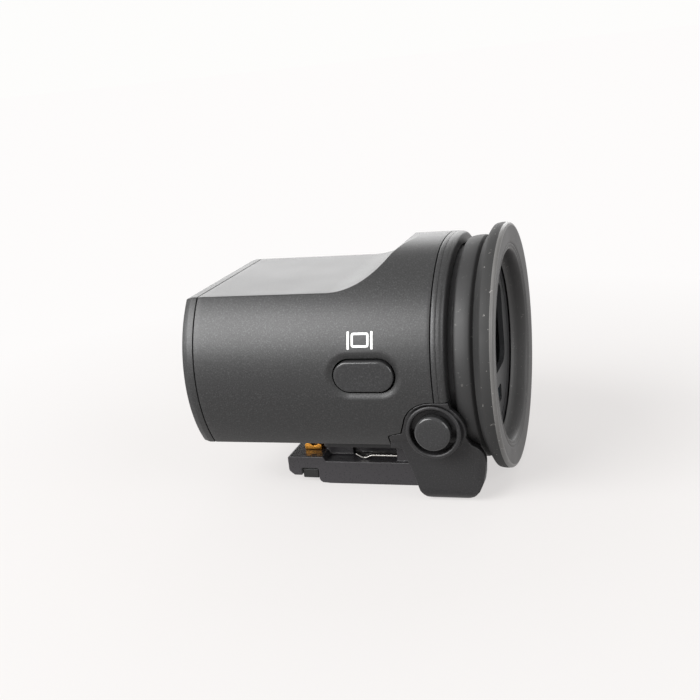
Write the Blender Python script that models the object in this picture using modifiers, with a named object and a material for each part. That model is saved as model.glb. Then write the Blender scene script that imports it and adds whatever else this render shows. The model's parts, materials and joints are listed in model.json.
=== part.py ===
"""Electronic viewfinder for an accessory shoe.

A round aluminium housing with a flat cut in its top holds the display and the eyepiece.
It stands on a bracket whose foot slides into a camera's accessory shoe.
+X runs along the optical axis towards the eye, +Z is up, and the button side faces -Y.
The origin is the middle of the foot's underside.
"""
import math

import bmesh
import bpy
from mathutils import Matrix, Vector

MM = 0.001

# Overall form
BODY_RADIUS = 18.0 * MM
EYE_PLANE_X = 23.4 * MM
WALL = 1.5 * MM
TOP_FLAT_DEPTH = 5.7 * MM
TOP_FLAT_RISE = BODY_RADIUS - TOP_FLAT_DEPTH
BOTTOM_FLAT_DEPTH = 6.8 * MM
BOTTOM_FLAT_DROP = BODY_RADIUS - BOTTOM_FLAT_DEPTH
SEAM = 0.25 * MM
FIT = 0.3 * MM
OVERRUN = 1.0 * MM

# Lengths along the optical axis, front to back
CAP_LENGTH = 1.9 * MM
HOUSING_LENGTH = 36.5 * MM
FRAME_RING_LENGTH = 0.8 * MM
COVER_RING_LENGTH = 1.2 * MM
EYECUP_GAP = 0.8 * MM
EYECUP_LENGTH = 6.2 * MM

EYECUP_FRONT_X = EYE_PLANE_X - EYECUP_LENGTH
COVER_BACK_X = EYECUP_FRONT_X - EYECUP_GAP
COVER_FRONT_X = COVER_BACK_X - COVER_RING_LENGTH
FRAME_FRONT_X = COVER_FRONT_X - FRAME_RING_LENGTH
HOUSING_FRONT_X = FRAME_FRONT_X - HOUSING_LENGTH
CAP_FRONT_X = HOUSING_FRONT_X - CAP_LENGTH

# The curve that rises from the top flat to the full round
SCOOP_RUN_FROM_SEAM = 16.0 * MM
SCOOP_RADIUS = 11.5 * MM
SCOOP_ANGLE = math.radians(50.0)
SCOOP_CLEAR = 0.05 * MM

# Front cap
CAP_CHAMFER_LENGTH = 0.9 * MM
CAP_CHAMFER_DEPTH = 0.3 * MM
CAP_SPIGOT_LENGTH = 2.0 * MM

# Eyecup, a soft ring with a wide rim
RIM_RADIUS = 19.1 * MM
RIM_FACE_RADIUS = 18.5 * MM
RIM_DEPTH = 2.1 * MM
TUBE_STEP = 1.4 * MM
TUBE_RADIUS = BODY_RADIUS - TUBE_STEP
TUBE_WALL = 0.7 * MM
BOWL_WALL = 2.3 * MM
BOWL_MOUTH_RADIUS = TUBE_RADIUS - BOWL_WALL
BOWL_DEPTH = 2.9 * MM
BOWL_TAPER = 0.4 * MM
LIP_WIDTH = 0.9 * MM
LIP_HEIGHT = 0.25 * MM

# Dioptre ring, which turns inside the rear cover
DIOPTRE_RING_RADIUS = TUBE_RADIUS - TUBE_WALL - FIT
DIOPTRE_RING_WALL = 2.9 * MM
DIOPTRE_RING_BORE = DIOPTRE_RING_RADIUS - DIOPTRE_RING_WALL
DIOPTRE_LIP_WIDTH = 0.7 * MM
DIOPTRE_LIP_RADIUS = DIOPTRE_RING_RADIUS + DIOPTRE_LIP_WIDTH
DIOPTRE_LIP_LENGTH = 0.7 * MM
DIOPTRE_TURN = math.radians(50.0)
DIOPTRE_TRAVEL = 0.8 * MM
FOLLOWER_RADIUS = 0.4 * MM
FOLLOWER_COUNT = 3
FOLLOWER_PLACE = 6.2 * MM
GROOVE_DEPTH = 0.8 * MM

# Eyepiece
BARREL_WALL = 0.8 * MM
BARREL_RADIUS = DIOPTRE_RING_BORE - FIT
BARREL_BORE = BARREL_RADIUS - BARREL_WALL
BARREL_FRONT_DEPTH = 12.0 * MM
BARREL_STOP_LENGTH = 0.8 * MM
BARREL_STOP_WIDTH = 3.0 * MM
BARREL_STOP_BORE = BARREL_BORE - BARREL_STOP_WIDTH
MASK_LENGTH = 0.8 * MM
MASK_SET_BACK = 3.2 * MM
MASK_WINDOW_WIDTH_SHARE, MASK_WINDOW_HEIGHT_SHARE, MASK_WINDOW_RISE_SHARE = 1.42, 1.048, 0.129
MASK_WINDOW_WIDTH = BARREL_RADIUS * MASK_WINDOW_WIDTH_SHARE
MASK_WINDOW_HEIGHT = BARREL_RADIUS * MASK_WINDOW_HEIGHT_SHARE
MASK_WINDOW_RISE = BARREL_RADIUS * MASK_WINDOW_RISE_SHARE
MASK_WINDOW_CORNER = 2.2 * MM
SENSOR_WINDOW_WIDTH = 7.0 * MM
SENSOR_WINDOW_HEIGHT = 2.6 * MM
SENSOR_WINDOW_EDGE = 3.8 * MM
SENSOR_WINDOW_DROP = BARREL_RADIUS - SENSOR_WINDOW_EDGE
LENS_CELL_WALL = 0.8 * MM
LENS_CELL_LENGTH = 4.6 * MM
LENS_EDGE = 1.4 * MM
LENS_BULGE = 1.0 * MM
FIELD_LENS_EDGE = 1.0 * MM

# Display end
DISPLAY_SET_BACK = 5.5 * MM
DISPLAY_WIDTH = 14.0 * MM
DISPLAY_HEIGHT = 11.0 * MM
DISPLAY_THICKNESS = 1.4 * MM
DISPLAY_FRAME_THICKNESS = 2.4 * MM
DISPLAY_VIEW_MARGIN = 1.2 * MM
BOARD_THICKNESS = 0.8 * MM
BOARD_SIDE_MARGIN = 6.0 * MM
BOARD_WIDTH = 2 * (BODY_RADIUS - WALL - BOARD_SIDE_MARGIN)
BOARD_FLOOR_MARGIN = 2.2 * MM
BOARD_HEIGHT = 2 * (BOTTOM_FLAT_DROP - WALL - BOARD_FLOOR_MARGIN)
BAFFLE_WALL = 0.5 * MM
BAFFLE_MARGIN = 2.4 * MM
BAFFLE_RADIUS = BARREL_BORE - BAFFLE_MARGIN
BAFFLE_TAPER = 0.8 * MM
BAFFLE_FRONT_RADIUS = BAFFLE_RADIUS - BAFFLE_TAPER

# Monitor button in the near side
PILL_LENGTH = 9.3 * MM
PILL_HEIGHT = 4.6 * MM
PILL_RISE = 1.25 * MM
PILL_AHEAD_OF_SEAM = 9.85 * MM
PILL_PROUD = 0.1 * MM
PILL_FLANGE = 0.6 * MM
PILL_FLANGE_THICKNESS = 0.5 * MM
PILL_TRAVEL = 0.4 * MM
PILL_CHAMFER = 0.3 * MM
DISH_MARGIN = 1.1 * MM
DISH_DEPTH = 0.35 * MM
SWITCH_SIDE = 3.5 * MM
SWITCH_HEIGHT = 1.0 * MM
SWITCH_BOARD_LENGTH = 14.8 * MM
SWITCH_BOARD_HEIGHT = 5.6 * MM
POST_RADIUS = 0.9 * MM

# Mount bracket under the rear end
BRACKET_SIDE_INSET = 3.2 * MM
BRACKET_HALF_WIDTH = BODY_RADIUS - BRACKET_SIDE_INSET
EAR_RADIUS = 4.55 * MM
EAR_ANGLES = (168, -20, 52)
EAR_FLOOR = 0.2 * MM
BOSS_X_FROM_SEAM = 0.58 * MM
BOSS_DROP = 7.43 * MM
BOSS_RADIUS = 4.05 * MM
BOSS_SINK = 0.55 * MM
BOSS_FACE_Y = BODY_RADIUS - BOSS_SINK
BOSS_RECESS_RADIUS = 3.35 * MM
EAR_DEPTH = 5.35 * MM
EAR_INNER_Y = BODY_RADIUS - EAR_DEPTH
BRACKET_FRONT_X = 8.3 * MM
BRACKET_BACK_X = 20.7 * MM
BRACKET_EDGE_RADIUS = 1.3 * MM
BRACKET_BACK_RADIUS = 1.6 * MM
LEG_WIDTH = 4.4 * MM
TOE_LENGTH = 2.1 * MM
TOE_FALL = 0.4 * MM

# The bracket's side below its ear, front to back, as shares of its length and of a height:
# in front up to the housing's flat, behind up to where the round ear begins
LEG_FRONT_SHARES = (
    (0.0, 1.0), (0.04, 0.79), (0.075, 0.66), (0.105, 0.53), (0.14, 0.33), (0.17, 0.19),
    (0.235, 0.05), (0.31, 0.0),
)
LEG_BACK_SHARES = (
    (0.68, 0.0), (0.8, 0.044), (0.9, 0.131), (0.965, 0.27), (0.992, 0.42), (1.0, 0.595),
    (1.0, 0.714), (0.972, 0.801), (0.925, 0.843), (0.845, 0.884), (0.81, 0.924), (0.8, 0.98),
)

# Release button in the boss
RELEASE_RADIUS = 2.62 * MM
RELEASE_PROUD = 0.75 * MM
RELEASE_THICKNESS = 1.25 * MM
RELEASE_STEM_RADIUS = 1.0 * MM
RELEASE_STEM_LENGTH = 1.6 * MM
RELEASE_TRAVEL = 0.4 * MM
RELEASE_CHAMFER = 0.3 * MM
BOSS_RECESS_DEPTH = RELEASE_THICKNESS - RELEASE_PROUD + RELEASE_TRAVEL + FIT / 2

# Foot for the accessory shoe
FOOT_WIDTH = 18.6 * MM
FOOT_THICKNESS = 3.7 * MM
FOOT_RAIL_DEPTH = 3.05 * MM
FOOT_NECK_WIDTH = FOOT_WIDTH - 2 * FOOT_RAIL_DEPTH
GROOVE_HEIGHT = 3.75 * MM
FOOT_FRONT_X = -6.0 * MM
NOSE_FRONT_X = -12.5 * MM
NOSE_RISE = 1.0 * MM
NOSE_TOP = 4.4 * MM
NOSE_CHAMFER = 0.9 * MM
FOOT_CHAMFER = 0.6 * MM
FOOT_BACK_X = 10.4 * MM
BASE_PLATE_THICKNESS = 0.8 * MM
BASE_PLATE_MARGIN = 0.45 * MM
BASE_PLATE_HALF_WIDTH = EAR_INNER_Y - BASE_PLATE_MARGIN
BASE_PLATE_FRONT_X = -5.2 * MM

# The housing rests on the foot, the groove above it and the base plate
AXIS_HEIGHT = FOOT_THICKNESS + GROOVE_HEIGHT + BASE_PLATE_THICKNESS + SEAM + BOTTOM_FLAT_DROP

# Shoe springs lying in the grooves of the foot
SPRING_STRIP = 0.25 * MM
SPRING_WIDTH = 1.6 * MM
SPRING_LENGTH = 7.6 * MM
SPRING_LIFT = 1.0 * MM

# Lock lever inside the foot
LEVER_WIDTH = 3.8 * MM
LEVER_THICKNESS = 1.2 * MM
LEVER_DROP = 1.4 * MM
LEVER_BACK_X = 10.0 * MM
TONGUE_INSET = 0.3 * MM
TONGUE_WIDTH = FOOT_WIDTH - 2 * TONGUE_INSET
TONGUE_LENGTH = 2.5 * MM
TONGUE_THICKNESS = 1.3 * MM
TONGUE_PROUD = 0.4 * MM
TONGUE_LIFT = 0.5 * MM
LEVER_PIN_X = 1.4 * MM
LEVER_PIN_RADIUS = 0.5 * MM
NOTCH_LENGTH = 3.1 * MM

# Contacts on the nose
CONTACT_COUNT = 5
CONTACT_PITCH = 2.6 * MM
CONTACT_WIDTH = 1.7 * MM
CONTACT_LENGTH = 2.8 * MM
CONTACT_STRIP = 0.3 * MM

# Foot screws
SCREW_HEAD_RADIUS = 1.1 * MM
SCREW_HEAD_HEIGHT = 0.7 * MM
SCREW_SHANK_RADIUS = 0.6 * MM
SCREW_EDGE = 1.95 * MM
SCREW_SPREAD_Y = FOOT_NECK_WIDTH / 2 - SCREW_EDGE
SCREW_FRONT_X = -3.4 * MM
SCREW_BACK_X = 6.4 * MM
SCREW_SINK = 0.2 * MM

# The flexible film passes down between the front screws
FLEX_MARGIN = 1.7 * MM
FLEX_HALF_WIDTH = SCREW_SPREAD_Y - FLEX_MARGIN

# Facets
ROUND_STEPS = 60
EYECUP_STEPS = 60
RING_STEPS = 48
SMALL_STEPS = 24
TINY_STEPS = 12
ARC_STEPS = 8
PILL_STEPS = 8
SHARP_ANGLE = math.radians(35.0)
WELD = 0.000001

MATERIALS = {
    "housing_metal": ((0.055, 0.055, 0.057), 0.5, 0.6),
    "bracket_metal": ((0.032, 0.031, 0.033), 0.55, 0.4),
    "rubber": ((0.05, 0.049, 0.05), 0.85, 0.0),
    "black_plastic": ((0.02, 0.02, 0.021), 0.5, 0.0),
    "button_black": ((0.045, 0.045, 0.047), 0.4, 0.2),
    "steel": ((0.6, 0.58, 0.55), 0.3, 1.0),
    "gold": ((0.75, 0.45, 0.12), 0.3, 1.0),
    "glass": ((0.02, 0.03, 0.035), 0.05, 0.0),
    "circuit_board": ((0.02, 0.09, 0.05), 0.5, 0.0),
    "display_glass": ((0.01, 0.01, 0.013), 0.1, 0.0),
    "amber_film": ((0.55, 0.25, 0.05), 0.4, 0.0),
}


def clear_scene():
    for obj in list(bpy.data.objects):
        bpy.data.objects.remove(obj, do_unlink=True)


def new_collection(name):
    collection = bpy.data.collections.new(name)
    bpy.context.scene.collection.children.link(collection)
    return collection


def make_material(name):
    colour, roughness, metallic = MATERIALS[name]
    material = bpy.data.materials.get(name) or bpy.data.materials.new(name)
    material.use_nodes = True
    shader = material.node_tree.nodes["Principled BSDF"]
    shader.inputs["Base Color"].default_value = (*colour, 1.0)
    shader.inputs["Roughness"].default_value = roughness
    shader.inputs["Metallic"].default_value = metallic
    return material


def add_object(name, mesh):
    """A new object in the part's collection; a cutter is moved out when it is used."""
    obj = bpy.data.objects.new(name, mesh)
    PARTS.objects.link(obj)
    return obj


def mesh_from(bm, name):
    mesh = bpy.data.meshes.new(name)
    bm.to_mesh(mesh)
    bm.free()
    return mesh


def finish(obj, material, parent=None):
    obj.data.materials.clear()
    obj.data.materials.append(make_material(material))
    obj.data.shade_smooth()
    obj.data.set_sharp_from_angle(angle=SHARP_ANGLE)
    if parent is not None:
        obj.parent = parent
        obj.matrix_parent_inverse = Matrix.Translation(-parent.location)
    return obj


def axis_empty(name, place):
    """An empty on a joint's axis, which carries the pieces that move with it."""
    empty = bpy.data.objects.new(name, None)
    empty.location = place
    PARTS.objects.link(empty)
    return empty


def block(name, low, high):
    bm = bmesh.new()
    bmesh.ops.create_cube(bm, size=1.0)
    for vertex in bm.verts:
        vertex.co = Vector([
            low[i] + (vertex.co[i] + 0.5) * (high[i] - low[i]) for i in range(3)
        ])
    return add_object(name, mesh_from(bm, name))


def rod(name, radius, start, end, steps=SMALL_STEPS, end_radius=None):
    """A cylinder, or a cone, between two points."""
    start, end = Vector(start), Vector(end)
    along = end - start
    bm = bmesh.new()
    bmesh.ops.create_cone(
        bm, cap_ends=True, segments=steps, radius1=radius,
        radius2=radius if end_radius is None else end_radius, depth=along.length,
    )
    turn = Vector((0.0, 0.0, 1.0)).rotation_difference(along.normalized()).to_matrix().to_4x4()
    bmesh.ops.transform(bm, matrix=Matrix.Translation((start + end) / 2) @ turn, verts=bm.verts)
    return add_object(name, mesh_from(bm, name))


def turned(name, profile, steps=RING_STEPS, closed=True, place=0.0, height=AXIS_HEIGHT):
    """A piece turned about the optical axis from (radius, x) points.

    The points run along the outer side from the eye towards the front, then back inside.
    """
    bm = bmesh.new()
    verts = [bm.verts.new((radius, 0.0, x)) for radius, x in profile]
    for first, second in zip(verts, verts[1:]):
        bm.edges.new((first, second))
    if closed:
        bm.edges.new((verts[-1], verts[0]))
    obj = add_object(name, mesh_from(bm, name))
    obj.rotation_euler = (0.0, math.pi / 2, 0.0)
    obj.location = (place, 0.0, height)
    screw = obj.modifiers.new("turn", "SCREW")
    screw.axis = "Z"
    screw.steps = steps
    screw.render_steps = steps
    screw.use_merge_vertices = True
    screw.merge_threshold = WELD
    screw.use_smooth_shade = True
    return settled(obj)


def settled(obj):
    """The object's evaluated shape as a plain mesh in world space."""
    bpy.context.view_layer.update()
    graph = bpy.context.evaluated_depsgraph_get()
    mesh = bpy.data.meshes.new_from_object(obj.evaluated_get(graph))
    mesh.transform(obj.matrix_world)
    name = obj.name
    bpy.data.objects.remove(obj, do_unlink=True)
    bm = bmesh.new()
    bm.from_mesh(mesh)
    bmesh.ops.remove_doubles(bm, verts=bm.verts, dist=WELD)
    bmesh.ops.recalc_face_normals(bm, faces=bm.faces)
    bm.to_mesh(mesh)
    bm.free()
    mesh.name = name
    return add_object(name, mesh)


def slab(name, outline, normal, low, high):
    """A flat outline with thickness. normal Y takes (x, z) points, normal X takes (y, z), Z (x, y)."""
    curve = bpy.data.curves.new(name, "CURVE")
    curve.dimensions = "2D"
    curve.fill_mode = "BOTH"
    curve.extrude = (high - low) / 2
    spline = curve.splines.new("POLY")
    spline.points.add(len(outline) - 1)
    for point, (u, v) in zip(spline.points, outline):
        point.co = (u, v, 0.0, 1.0)
    spline.use_cyclic_u = True
    obj = add_object(name, curve)
    middle = (high + low) / 2
    if normal == "Y":
        obj.rotation_euler = (math.pi / 2, 0.0, 0.0)
        obj.location = (0.0, middle, 0.0)
    elif normal == "X":
        obj.rotation_euler = (math.pi / 2, 0.0, math.pi / 2)
        obj.location = (middle, 0.0, 0.0)
    else:
        obj.location = (0.0, 0.0, middle)
    return settled(obj)


def arc(centre, radius, start, end, steps=ARC_STEPS):
    """Points along an arc, angles in degrees."""
    angles = [math.radians(start + (end - start) * i / steps) for i in range(steps + 1)]
    return [
        (centre[0] + radius * math.cos(angle), centre[1] + radius * math.sin(angle))
        for angle in angles
    ]


def rounded_rectangle(centre, width, height, radius, steps=ARC_STEPS):
    points = []
    for side_u, side_v, start in ((1, 1, 0), (-1, 1, 90), (-1, -1, 180), (1, -1, 270)):
        middle = (
            centre[0] + side_u * (width / 2 - radius),
            centre[1] + side_v * (height / 2 - radius),
        )
        points += arc(middle, radius, start, start + 90, steps)
    return without_repeats(points)


def without_repeats(points):
    kept = []
    for point in points:
        if not kept or math.dist(point, kept[-1]) > WELD:
            kept.append(point)
    if math.dist(kept[0], kept[-1]) <= WELD:
        kept.pop()
    return kept


def boolean(obj, other, operation):
    modifier = obj.modifiers.new(operation.lower(), "BOOLEAN")
    modifier.operation = operation
    modifier.solver = "EXACT"
    modifier.object = other
    if other.name not in CUTTERS.objects:
        PARTS.objects.unlink(other)
        CUTTERS.objects.link(other)
        other.hide_render = True
        other.display_type = "WIRE"
    return obj


def cut(obj, *others):
    for other in others:
        boolean(obj, other, "DIFFERENCE")
    return obj


def joined(obj, *others):
    for other in others:
        boolean(obj, other, "UNION")
    return obj


def common(obj, *others):
    for other in others:
        boolean(obj, other, "INTERSECT")
    return obj


def along_axis(radius, front, back, name, steps=ROUND_STEPS):
    return rod(name, radius, (front, 0.0, AXIS_HEIGHT), (back, 0.0, AXIS_HEIGHT), steps)


def scoop_outline(inset):
    """The space above the top flat and its rise, as (x, z) points, moved down by a wall."""
    flat = AXIS_HEIGHT + TOP_FLAT_RISE - inset
    start = FRAME_FRONT_X - SCOOP_RUN_FROM_SEAM
    top = AXIS_HEIGHT + BODY_RADIUS - inset + SCOOP_CLEAR
    share = 1.0 - math.cos(SCOOP_ANGLE)
    crest_radius = (top - flat) / share - SCOOP_RADIUS
    reach = (SCOOP_RADIUS + crest_radius) * math.sin(SCOOP_ANGLE)
    angle = math.degrees(SCOOP_ANGLE)
    points = [(CAP_FRONT_X - OVERRUN, flat)]
    points += arc((start, flat + SCOOP_RADIUS), SCOOP_RADIUS, -90, -90 + angle)
    points += arc((start + reach, top - crest_radius), crest_radius, 90 + angle, 90)
    lid = AXIS_HEIGHT + BODY_RADIUS + 2 * OVERRUN
    points += [(start + reach, lid), (CAP_FRONT_X - OVERRUN, lid)]
    return without_repeats(points)


def flatten(obj, inset, name):
    """Cuts the top scoop and the bottom flat out of a round piece."""
    half = BODY_RADIUS + OVERRUN
    scoop = slab(name + "_scoop_cut", scoop_outline(inset), "Y", -half, half)
    floor = AXIS_HEIGHT - BOTTOM_FLAT_DROP + inset
    bottom = block(
        name + "_bottom_cut",
        (CAP_FRONT_X - 2 * OVERRUN, -half, AXIS_HEIGHT - half),
        (FRAME_FRONT_X + OVERRUN, half, floor),
    )
    return cut(obj, scoop, bottom)


def side_view_outline(grow):
    """The bracket seen from the side, as (x, z) points, grown by a clearance round its ear."""
    boss = boss_centre()
    ear = EAR_RADIUS + grow
    front, back_low, back_high = EAR_ANGLES
    ear_top = boss[1] + ear
    flat = AXIS_HEIGHT - BOTTOM_FLAT_DROP
    toe_x = BRACKET_FRONT_X - TOE_LENGTH - grow
    toe_z = flat + TOE_LENGTH + TOE_FALL + grow
    points = [(COVER_BACK_X, ear_top), (boss[0], ear_top)]
    points += arc(boss, ear, 90, front, 2 * ARC_STEPS)
    points += [(BRACKET_FRONT_X + TOE_FALL - grow, toe_z + TOE_FALL)]
    points += arc((toe_x + TOE_FALL, toe_z - TOE_FALL), TOE_FALL, 90, 180, ARC_STEPS // 2)
    if grow:
        high = BRACKET_BACK_X + grow
        return without_repeats(points + [(toe_x, -OVERRUN), (high, -OVERRUN), (high, ear_top)])
    points += [(toe_x, flat)]
    length = BRACKET_BACK_X - BRACKET_FRONT_X
    ear_low = boss[1] + EAR_RADIUS * math.sin(math.radians(back_low))
    points += [(BRACKET_FRONT_X + u * length, v * flat) for u, v in LEG_FRONT_SHARES]
    points += [(BRACKET_FRONT_X + u * length, v * ear_low) for u, v in LEG_BACK_SHARES]
    points += arc(boss, EAR_RADIUS, back_low, back_high)
    return without_repeats(points)


def plan_outline():
    """The bracket seen from above, as (x, y) points: two legs with rounded backs."""
    back = BRACKET_BACK_X
    side = BRACKET_HALF_WIDTH
    inner = side - LEG_WIDTH
    round_x = back - BRACKET_BACK_RADIUS
    web_x = COVER_BACK_X + SEAM
    wide = BODY_RADIUS + OVERRUN
    right = [(-2 * OVERRUN, wide), (round_x - TOE_FALL, wide), (round_x - TOE_FALL, side)]
    right += arc((round_x - TOE_FALL, side - BRACKET_BACK_RADIUS), BRACKET_BACK_RADIUS, 90, 0)
    right += [(back - 2 * TOE_FALL, side - LEG_WIDTH / 2), (web_x, inner)]
    return without_repeats(right + [(x, -y) for x, y in reversed(right)])


def front_view_outline():
    """The bracket seen along the axis, as (y, z) points: round above, straight below."""
    side = []
    steps = 2 * ARC_STEPS
    turn_z = AXIS_HEIGHT - math.sqrt(BODY_RADIUS ** 2 - (BRACKET_HALF_WIDTH + FIT) ** 2)
    low = math.asin((AXIS_HEIGHT - turn_z) / BODY_RADIUS)
    for i in range(steps + 1):
        angle = -low * i / steps
        side.append((BODY_RADIUS * math.cos(angle), AXIS_HEIGHT + BODY_RADIUS * math.sin(angle)))
    side += arc(
        (BRACKET_HALF_WIDTH - BRACKET_EDGE_RADIUS, BRACKET_EDGE_RADIUS),
        BRACKET_EDGE_RADIUS, 0, -90,
    )
    return without_repeats(side + [(-y, z) for y, z in reversed(side)])


def ear_room(name):
    """Cutters that open the round shells for the bracket's two ears."""
    rooms = []
    for side, sign in (("near", -1), ("far", 1)):
        inner = sign * (EAR_INNER_Y - SEAM)
        outer = sign * (BODY_RADIUS + OVERRUN)
        room = slab(
            f"{name}_{side}_ear_room", side_view_outline(SEAM), "Y",
            min(inner, outer), max(inner, outer),
        )
        core = along_axis(
            BODY_RADIUS - WALL - EAR_FLOOR, -2 * OVERRUN, EYE_PLANE_X + OVERRUN,
            f"{name}_{side}_ear_core",
        )
        rooms.append(cut(room, core))
    return rooms


def pill(name, grow, outer_y, inner_y):
    """A pill standing in the near side, between two distances from the middle plane."""
    centre = (FRAME_FRONT_X - PILL_AHEAD_OF_SEAM, AXIS_HEIGHT + PILL_RISE)
    outline = rounded_rectangle(
        centre, PILL_LENGTH + 2 * grow, PILL_HEIGHT + 2 * grow, PILL_HEIGHT / 2 + grow, PILL_STEPS,
    )
    return slab(name, outline, "Y", -outer_y, -inner_y)


def make_housing():
    outer = along_axis(BODY_RADIUS, HOUSING_FRONT_X + SEAM, FRAME_FRONT_X - SEAM, "housing")
    flatten(outer, 0.0, "housing_outer")
    inner = along_axis(
        BODY_RADIUS - WALL, HOUSING_FRONT_X - OVERRUN, FRAME_FRONT_X + OVERRUN, "housing_hollow",
    )
    flatten(inner, WALL, "housing_inner")
    cut(outer, inner)
    for x in switch_post_places():
        post_start = (x, -BODY_RADIUS + WALL / 2, AXIS_HEIGHT + PILL_RISE)
        post_end = (x, -switch_board_y() - FIT, AXIS_HEIGHT + PILL_RISE)
        joined(outer, rod("switch_post", POST_RADIUS, post_start, post_end, TINY_STEPS))
    cut(outer, dish_cutter(), pill("pill_hole", SEAM, BODY_RADIUS + OVERRUN, pill_seat_y() - FIT))
    barrel_room = along_axis(
        BARREL_RADIUS + 2 * FIT, barrel_front_x() - 2 * FIT, FRAME_FRONT_X + OVERRUN,
        "barrel_room",
    )
    cut(outer, barrel_room, *ear_room("housing"))
    slot_x = BASE_PLATE_FRONT_X + 2 * OVERRUN
    cut(outer, block(
        "flex_slot",
        (slot_x - FIT, -FLEX_HALF_WIDTH - FIT, AXIS_HEIGHT - BOTTOM_FLAT_DROP - OVERRUN),
        (slot_x + CONTACT_STRIP + FIT, FLEX_HALF_WIDTH + FIT,
         AXIS_HEIGHT - BOTTOM_FLAT_DROP + WALL + OVERRUN),
    ))
    return finish(outer, "housing_metal")


def pill_seat_y():
    """How far from the middle plane the inside of the wall lies at the button."""
    return BODY_RADIUS - WALL - FIT


def dish_cutter():
    """A shallow pill-shaped dish round the button, a loft between two unlike pills."""
    centre = (FRAME_FRONT_X - PILL_AHEAD_OF_SEAM, AXIS_HEIGHT + PILL_RISE)
    levels = (
        (DISH_MARGIN + OVERRUN, -(BODY_RADIUS + OVERRUN)),
        (DISH_MARGIN, -BODY_RADIUS),
        (SEAM, -(BODY_RADIUS - DISH_DEPTH)),
    )
    bm = bmesh.new()
    rings = []
    for grow, y in levels:
        outline = rounded_rectangle(
            centre, PILL_LENGTH + 2 * grow, PILL_HEIGHT + 2 * grow, PILL_HEIGHT / 2 + grow, PILL_STEPS,
        )
        rings.append([bm.verts.new((x, y, z)) for x, z in outline])
    for first, second in zip(rings, rings[1:]):
        count = len(first)
        for i in range(count):
            j = (i + 1) % count
            bm.faces.new((first[i], first[j], second[j], second[i]))
    bm.faces.new(rings[0])
    bm.faces.new(rings[-1])
    bmesh.ops.recalc_face_normals(bm, faces=bm.faces)
    return add_object("dish", mesh_from(bm, "dish"))


def make_front_cap():
    radius = BODY_RADIUS
    profile = [
        (radius, HOUSING_FRONT_X), (radius, CAP_FRONT_X + CAP_CHAMFER_LENGTH),
        (radius - CAP_CHAMFER_DEPTH, CAP_FRONT_X), (0.0, CAP_FRONT_X),
    ]
    cap = turned("front_cap", [(0.0, HOUSING_FRONT_X)] + profile, ROUND_STEPS, closed=False)
    flatten(cap, 0.0, "cap_outer")
    angle = math.atan2(CAP_CHAMFER_DEPTH, CAP_CHAMFER_LENGTH)
    for name, height, sign in (
        ("cap_top_chamfer", TOP_FLAT_RISE, 1), ("cap_bottom_chamfer", -BOTTOM_FLAT_DROP, -1),
    ):
        wedge = slab(name, [
            (CAP_FRONT_X - OVERRUN, AXIS_HEIGHT + height - sign * (
                CAP_CHAMFER_DEPTH + OVERRUN * math.tan(angle))),
            (CAP_FRONT_X + CAP_CHAMFER_LENGTH, AXIS_HEIGHT + height),
            (CAP_FRONT_X + CAP_CHAMFER_LENGTH, AXIS_HEIGHT + height + sign * OVERRUN),
            (CAP_FRONT_X - OVERRUN, AXIS_HEIGHT + height + sign * OVERRUN),
        ], "Y", -BODY_RADIUS, BODY_RADIUS)
        cut(cap, wedge)
    spigot = along_axis(
        BODY_RADIUS - WALL - FIT, HOUSING_FRONT_X - CAP_LENGTH / 2,
        HOUSING_FRONT_X + CAP_SPIGOT_LENGTH, "cap_spigot",
    )
    flatten(spigot, WALL + FIT, "cap_spigot")
    return finish(joined(cap, spigot), "housing_metal")


def barrel_front_x():
    return EYE_PLANE_X - BARREL_FRONT_DEPTH


def make_rear_frame():
    """The fixed barrel of the eyepiece with the ring that closes the housing."""
    mask_front = EYE_PLANE_X - MASK_SET_BACK - MASK_LENGTH
    ring_back = COVER_FRONT_X - SEAM / 2
    stop_back = barrel_front_x() + BARREL_STOP_LENGTH
    profile = [
        (BARREL_RADIUS, mask_front - FIT), (BARREL_RADIUS, ring_back),
        (BODY_RADIUS, ring_back), (BODY_RADIUS, FRAME_FRONT_X),
        (BARREL_RADIUS, FRAME_FRONT_X), (BARREL_RADIUS, barrel_front_x()),
        (BARREL_STOP_BORE, barrel_front_x()), (BARREL_STOP_BORE, stop_back),
        (BARREL_BORE, stop_back), (BARREL_BORE, mask_front - FIT),
    ]
    frame = turned("rear_frame", profile, ROUND_STEPS)
    for i in range(FOLLOWER_COUNT):
        cut(frame, follower_slot(i))
    cut(frame, *ear_room("frame"))
    return finish(frame, "housing_metal")


def follower_angle(i):
    return math.radians(90.0) + i * math.tau / FOLLOWER_COUNT


def on_ring(radius, angle, x):
    return Vector((x, radius * math.cos(angle), AXIS_HEIGHT + radius * math.sin(angle)))


def follower_x():
    return EYE_PLANE_X - FOLLOWER_PLACE


def follower_slot(i):
    """A slot along the axis in the barrel's wall for one follower."""
    half = FOLLOWER_RADIUS + FIT
    reach = DIOPTRE_TRAVEL + half
    low = (follower_x() - reach, -half, BARREL_BORE - OVERRUN)
    high = (follower_x() + reach, half, BARREL_RADIUS + FIT / 2)
    slot = block(f"follower_slot_{i}", low, high)
    turn = Matrix.Rotation(follower_angle(i) - math.pi / 2, 4, "X")
    slot.data.transform(Matrix.Translation((0.0, 0.0, AXIS_HEIGHT)) @ turn)
    return slot


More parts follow.
